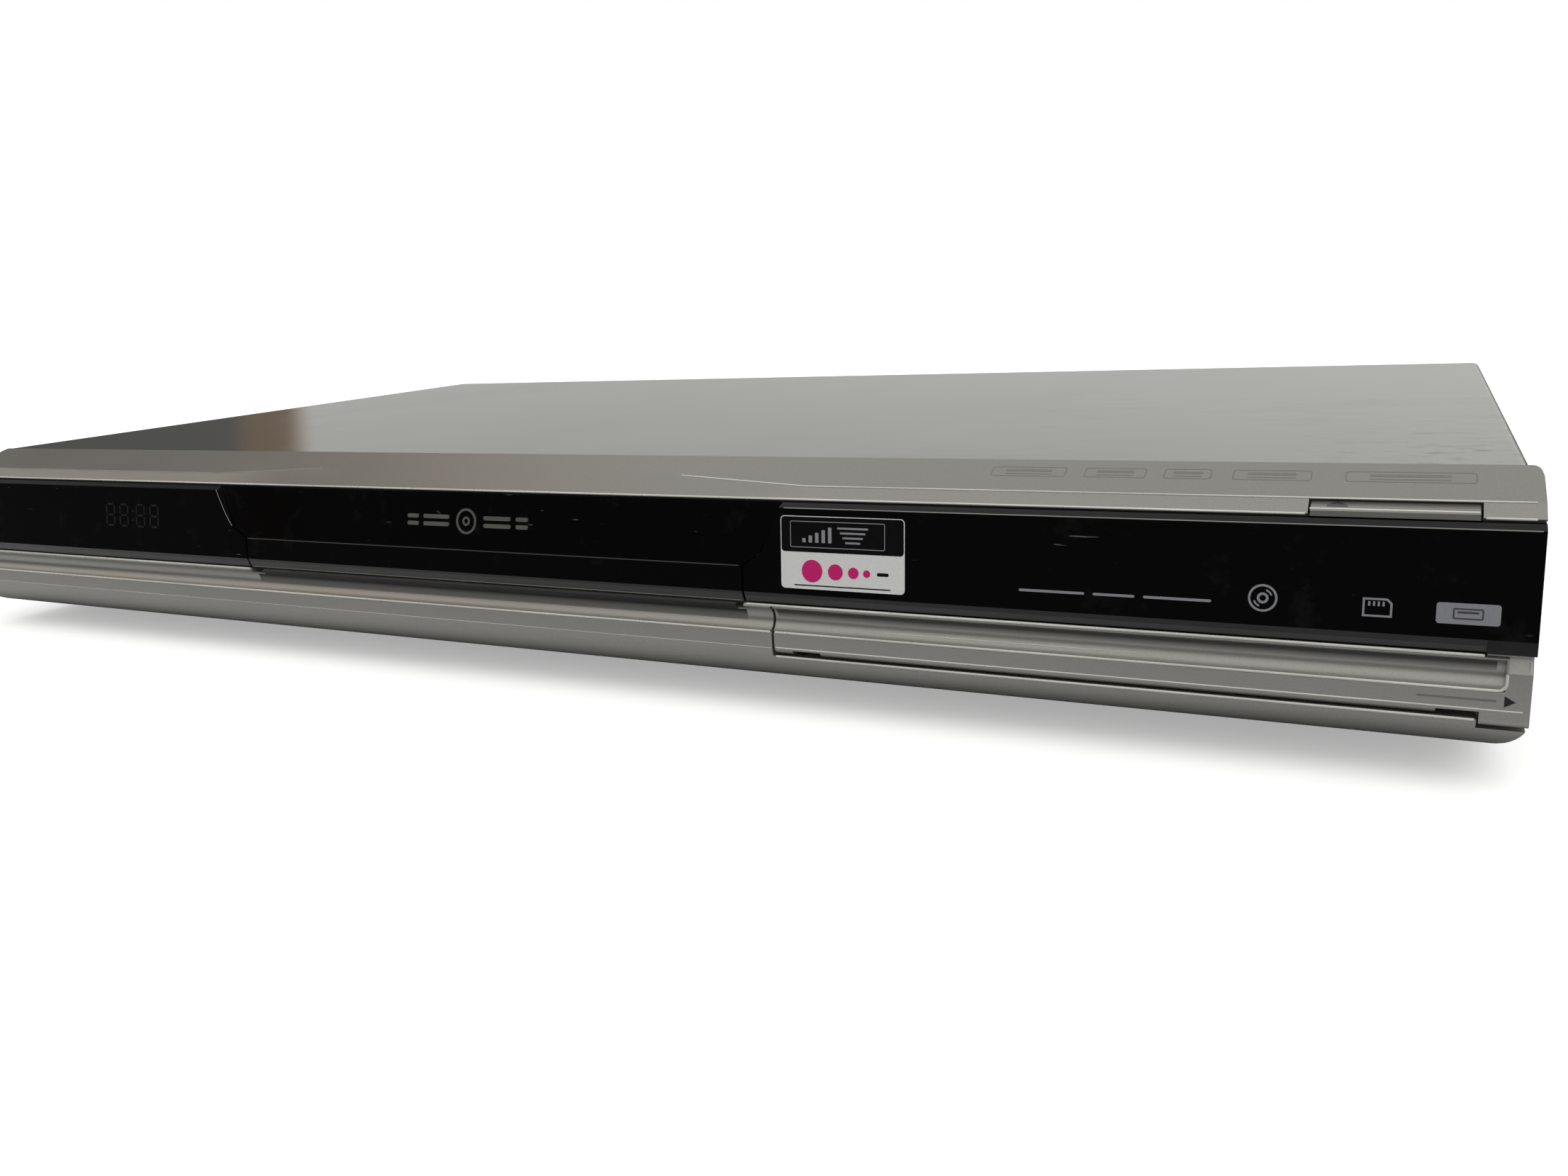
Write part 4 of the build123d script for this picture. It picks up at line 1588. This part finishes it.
with BuildPart() as psu_transformer:
    core_x = (TRANSFORMER[0] - CORE[0] / 2, TRANSFORMER[0] + CORE[0] / 2)
    core_y = (TRANSFORMER[1] - CORE[1] / 2, TRANSFORMER[1] + CORE[1] / 2)
    for side in (-1, 1):
        leg = TRANSFORMER[0] + side * (CORE[0] / 2 - 3)
        block((leg - 3, leg + 3), grow(core_y, -8), (SOCKET_Z + 2, SOCKET_Z + CORE[2]))
    block(core_x, grow(core_y, -8), (SOCKET_Z + 2, SOCKET_Z + 8))
    block(core_x, grow(core_y, -8), (SOCKET_Z + CORE[2] - 6, SOCKET_Z + CORE[2]))
    block(grow(core_x, -7), grow(core_y, -3), (SOCKET_Z + 2, SOCKET_Z + CORE[2]))
    for shelf_z in (SOCKET_Z, SOCKET_Z + CORE[2] - 8):
        block(grow(core_x, -6.2), core_y, (shelf_z, shelf_z + 2))
psu_transformer.part.label = "psu_transformer"
export_step(psu_transformer.part, "parts/psu_transformer.step")

with BuildPart() as psu_capacitors:
    post(*BIG_CAN, (SOCKET_Z, SOCKET_Z + BIG_CAN_TALL), BIG_CAN_RADIUS)
    for can_y in SMALL_CAN_Y:
        post(SMALL_CAN_X, can_y, (SOCKET_Z, SOCKET_Z + SMALL_CAN_TALL), SMALL_CAN_RADIUS)
psu_capacitors.part.label = "psu_capacitors"
export_step(psu_capacitors.part, "parts/psu_capacitors.step")

with BuildPart() as psu_heatsinks:
    for sink_x, low_y, high_y in SINKS:
        block((sink_x, sink_x + SINK_THICK), (low_y, high_y), (SOCKET_Z, SOCKET_Z + SINK_TALL))
        count = int((high_y - low_y) / 12)
        for index in range(count + 1):
            fin_y = low_y + index * (high_y - low_y - SINK_THICK) / count
            block((sink_x, sink_x + 9), (fin_y, fin_y + SINK_THICK), (SOCKET_Z + 2, SOCKET_Z + SINK_TALL))
psu_heatsinks.part.label = "psu_heatsinks"
export_step(psu_heatsinks.part, "parts/psu_heatsinks.step")

# Fan behind the grille
FAN_REAR_Y = PANEL_IN_Y - 0.3
FAN_FRONT_Y = FAN_REAR_Y - FAN_DEPTH
FAN_BORE = FAN_SIZE / 2 - 1.2
FAN_TIP = FAN_BORE - 0.7
SPOKE = 2.0
ROTOR_FRONT_Y = FAN_FRONT_Y + SPOKE + 0.6

with BuildPart() as fan_housing:
    fan_y = (FAN_FRONT_Y, FAN_REAR_Y)
    fan_half = FAN_SIZE / 2
    block((FAN_X - fan_half, FAN_X + fan_half), fan_y, (FAN_Z - fan_half, FAN_Z + fan_half))
    bar_y(FAN_X, grow(fan_y, 1), FAN_Z, FAN_BORE, Mode.SUBTRACT)
    spoke_y = (FAN_FRONT_Y, FAN_FRONT_Y + SPOKE)
    block((FAN_X - FAN_BORE - 0.5, FAN_X + FAN_BORE + 0.5), spoke_y, (FAN_Z - 1.2, FAN_Z + 1.2))
    block((FAN_X - 1.2, FAN_X + 1.2), spoke_y, (FAN_Z - FAN_BORE - 0.5, FAN_Z + FAN_BORE + 0.5))
    bar_y(FAN_X, spoke_y, FAN_Z, FAN_HUB)
    bar_y(FAN_X, (FAN_FRONT_Y + 0.6, FAN_FRONT_Y + SPOKE + 1), FAN_Z, SHAFT + PIN_FIT, Mode.SUBTRACT)
fan_housing.part.label = "fan_housing"
export_step(fan_housing.part, "parts/fan_housing.step")

with BuildPart() as fan_rotor:
    rotor_y = (ROTOR_FRONT_Y, FAN_REAR_Y - 0.6)
    bar_y(FAN_X, rotor_y, FAN_Z, FAN_HUB)
    bar_y(FAN_X, (FAN_FRONT_Y + 0.8, ROTOR_FRONT_Y), FAN_Z, SHAFT)
    blade_long = FAN_TIP - FAN_HUB + 0.8
    blade_y = (rotor_y[0] + rotor_y[1]) / 2
    for index in range(FAN_BLADES):
        with Locations(Location((FAN_X, blade_y, FAN_Z), (0, 360 * index / FAN_BLADES, 0))):
            with Locations(Location((FAN_TIP - blade_long / 2, 0, 0), (38, 0, 0))):
                Box(blade_long, 7.4, 0.9)
fan_rotor.part.label = "fan_rotor"
export_step(fan_rotor.part, "parts/fan_rotor.step")

# Sockets
with BuildPart() as power_inlet:
    inlet_z = (INLET_Z - INLET_SIZE[1] / 2, INLET_Z + INLET_SIZE[1] / 2)
    inlet_y = (PANEL_Y + SOCKET_PROUD - INLET_DEEP, PANEL_Y + SOCKET_PROUD)
    block(socket_span(INLET_X, INLET_SIZE), inlet_y, inlet_z)
    cavity = (inlet_y[1] - 11, inlet_y[1] + 1)
    for side in (-1, 1):
        bar_y(INLET_X + side * INLET_PITCH / 2, cavity, INLET_Z, INLET_LOBE, Mode.SUBTRACT)
    block((INLET_X - 3, INLET_X + 3), cavity, (INLET_Z - 2.4, INLET_Z + 2.4), Mode.SUBTRACT)
    for side in (-1, 1):
        bar_y(INLET_X + side * INLET_PITCH / 2, (inlet_y[1] - 12, inlet_y[1] - 3), INLET_Z, 1.2)
power_inlet.part.label = "power_inlet"
export_step(power_inlet.part, "parts/power_inlet.step")

with BuildPart() as hdmi_socket:
    hdmi_y = (PANEL_Y + SOCKET_PROUD - HDMI_DEEP, PANEL_Y + SOCKET_PROUD)
    block(socket_span(HDMI_X, HDMI_SIZE), hdmi_y, (SOCKET_Z, SOCKET_Z + HDMI_SIZE[1]))
    half = HDMI_SIZE[0] / 2 - 0.5
    top_z = SOCKET_Z + HDMI_SIZE[1] - 0.5
    with BuildSketch(Plane.XZ.offset(-hdmi_y[1])):
        with BuildLine():
            Polyline(
                (HDMI_X - half, top_z),
                (HDMI_X + half, top_z),
                (HDMI_X + half, SOCKET_Z + 2.6),
                (HDMI_X + half - 2, SOCKET_Z + 0.6),
                (HDMI_X - half + 2, SOCKET_Z + 0.6),
                (HDMI_X - half, SOCKET_Z + 2.6),
                close=True,
            )
        make_face()
    extrude(amount=HDMI_DEEP - 2, mode=Mode.SUBTRACT)
    block((HDMI_X - 5.6, HDMI_X + 5.6), (hdmi_y[0] + 1, hdmi_y[1] - 1), (SOCKET_Z + 2.9, SOCKET_Z + 3.8))
hdmi_socket.part.label = "hdmi_socket"
export_step(hdmi_socket.part, "parts/hdmi_socket.step")

with BuildPart() as lan_socket:
    lan_y = (PANEL_Y + SOCKET_PROUD - LAN_DEEP, PANEL_Y + SOCKET_PROUD)
    cavity = (lan_y[1] - 13, lan_y[1] + 1)
    block(socket_span(LAN_X, LAN_SIZE), lan_y, (SOCKET_Z, SOCKET_Z + LAN_SIZE[1]))
    block((LAN_X - 5.9, LAN_X + 5.9), cavity, (SOCKET_Z + 4.6, SOCKET_Z + 11.4), Mode.SUBTRACT)
    block((LAN_X - 3.2, LAN_X + 3.2), cavity, (SOCKET_Z + 2.8, SOCKET_Z + 5), Mode.SUBTRACT)
    block((LAN_X - 1.8, LAN_X + 1.8), cavity, (SOCKET_Z + 1.4, SOCKET_Z + 3), Mode.SUBTRACT)
lan_socket.part.label = "lan_socket"
export_step(lan_socket.part, "parts/lan_socket.step")

with BuildPart() as optical_socket:
    optical_y = (PANEL_Y + SOCKET_PROUD - OPTICAL_DEEP, PANEL_Y + SOCKET_PROUD)
    block(socket_span(OPTICAL_X, OPTICAL_SIZE), optical_y, (SOCKET_Z, SOCKET_Z + OPTICAL_SIZE[1]))
    middle_z = SOCKET_Z + OPTICAL_SIZE[1] / 2
    mouth_y = (optical_y[1] - 8, optical_y[1] + 1)
    block((OPTICAL_X - 3.1, OPTICAL_X + 3.1), mouth_y, (middle_z - 3.1, middle_z + 3.1), Mode.SUBTRACT)
    bar_y(OPTICAL_X, (optical_y[1] - 10, optical_y[1] - 6), middle_z, 1.3)
optical_socket.part.label = "optical_socket"
export_step(optical_socket.part, "parts/optical_socket.step")

with BuildPart() as av_jack_block:
    body_half = 1.5 * JACK_PITCH + 0.6
    block(
        (JACK_BLOCK_X - body_half, JACK_BLOCK_X + body_half),
        (PANEL_IN_Y - 14, PANEL_IN_Y - 0.3),
        (SOCKET_Z, SOCKET_Z + 2.2 * JACK_PITCH),
    )
    for jack_x, jack_z in jack_places():
        hex_bar_y(jack_x, (PANEL_IN_Y - 1, DEPTH / 2 - JACK_FREE), jack_z, JACK_BASE)
        bar_y(jack_x, (DEPTH / 2 - JACK_FREE - 0.5, DEPTH / 2), jack_z, JACK_RADIUS)
        bar_y(jack_x, (DEPTH / 2 - JACK_BORE_DEEP, DEPTH / 2 + 1), jack_z, JACK_BORE, Mode.SUBTRACT)
av_jack_block.part.label = "av_jack_block"
export_step(av_jack_block.part, "parts/av_jack_block.step")
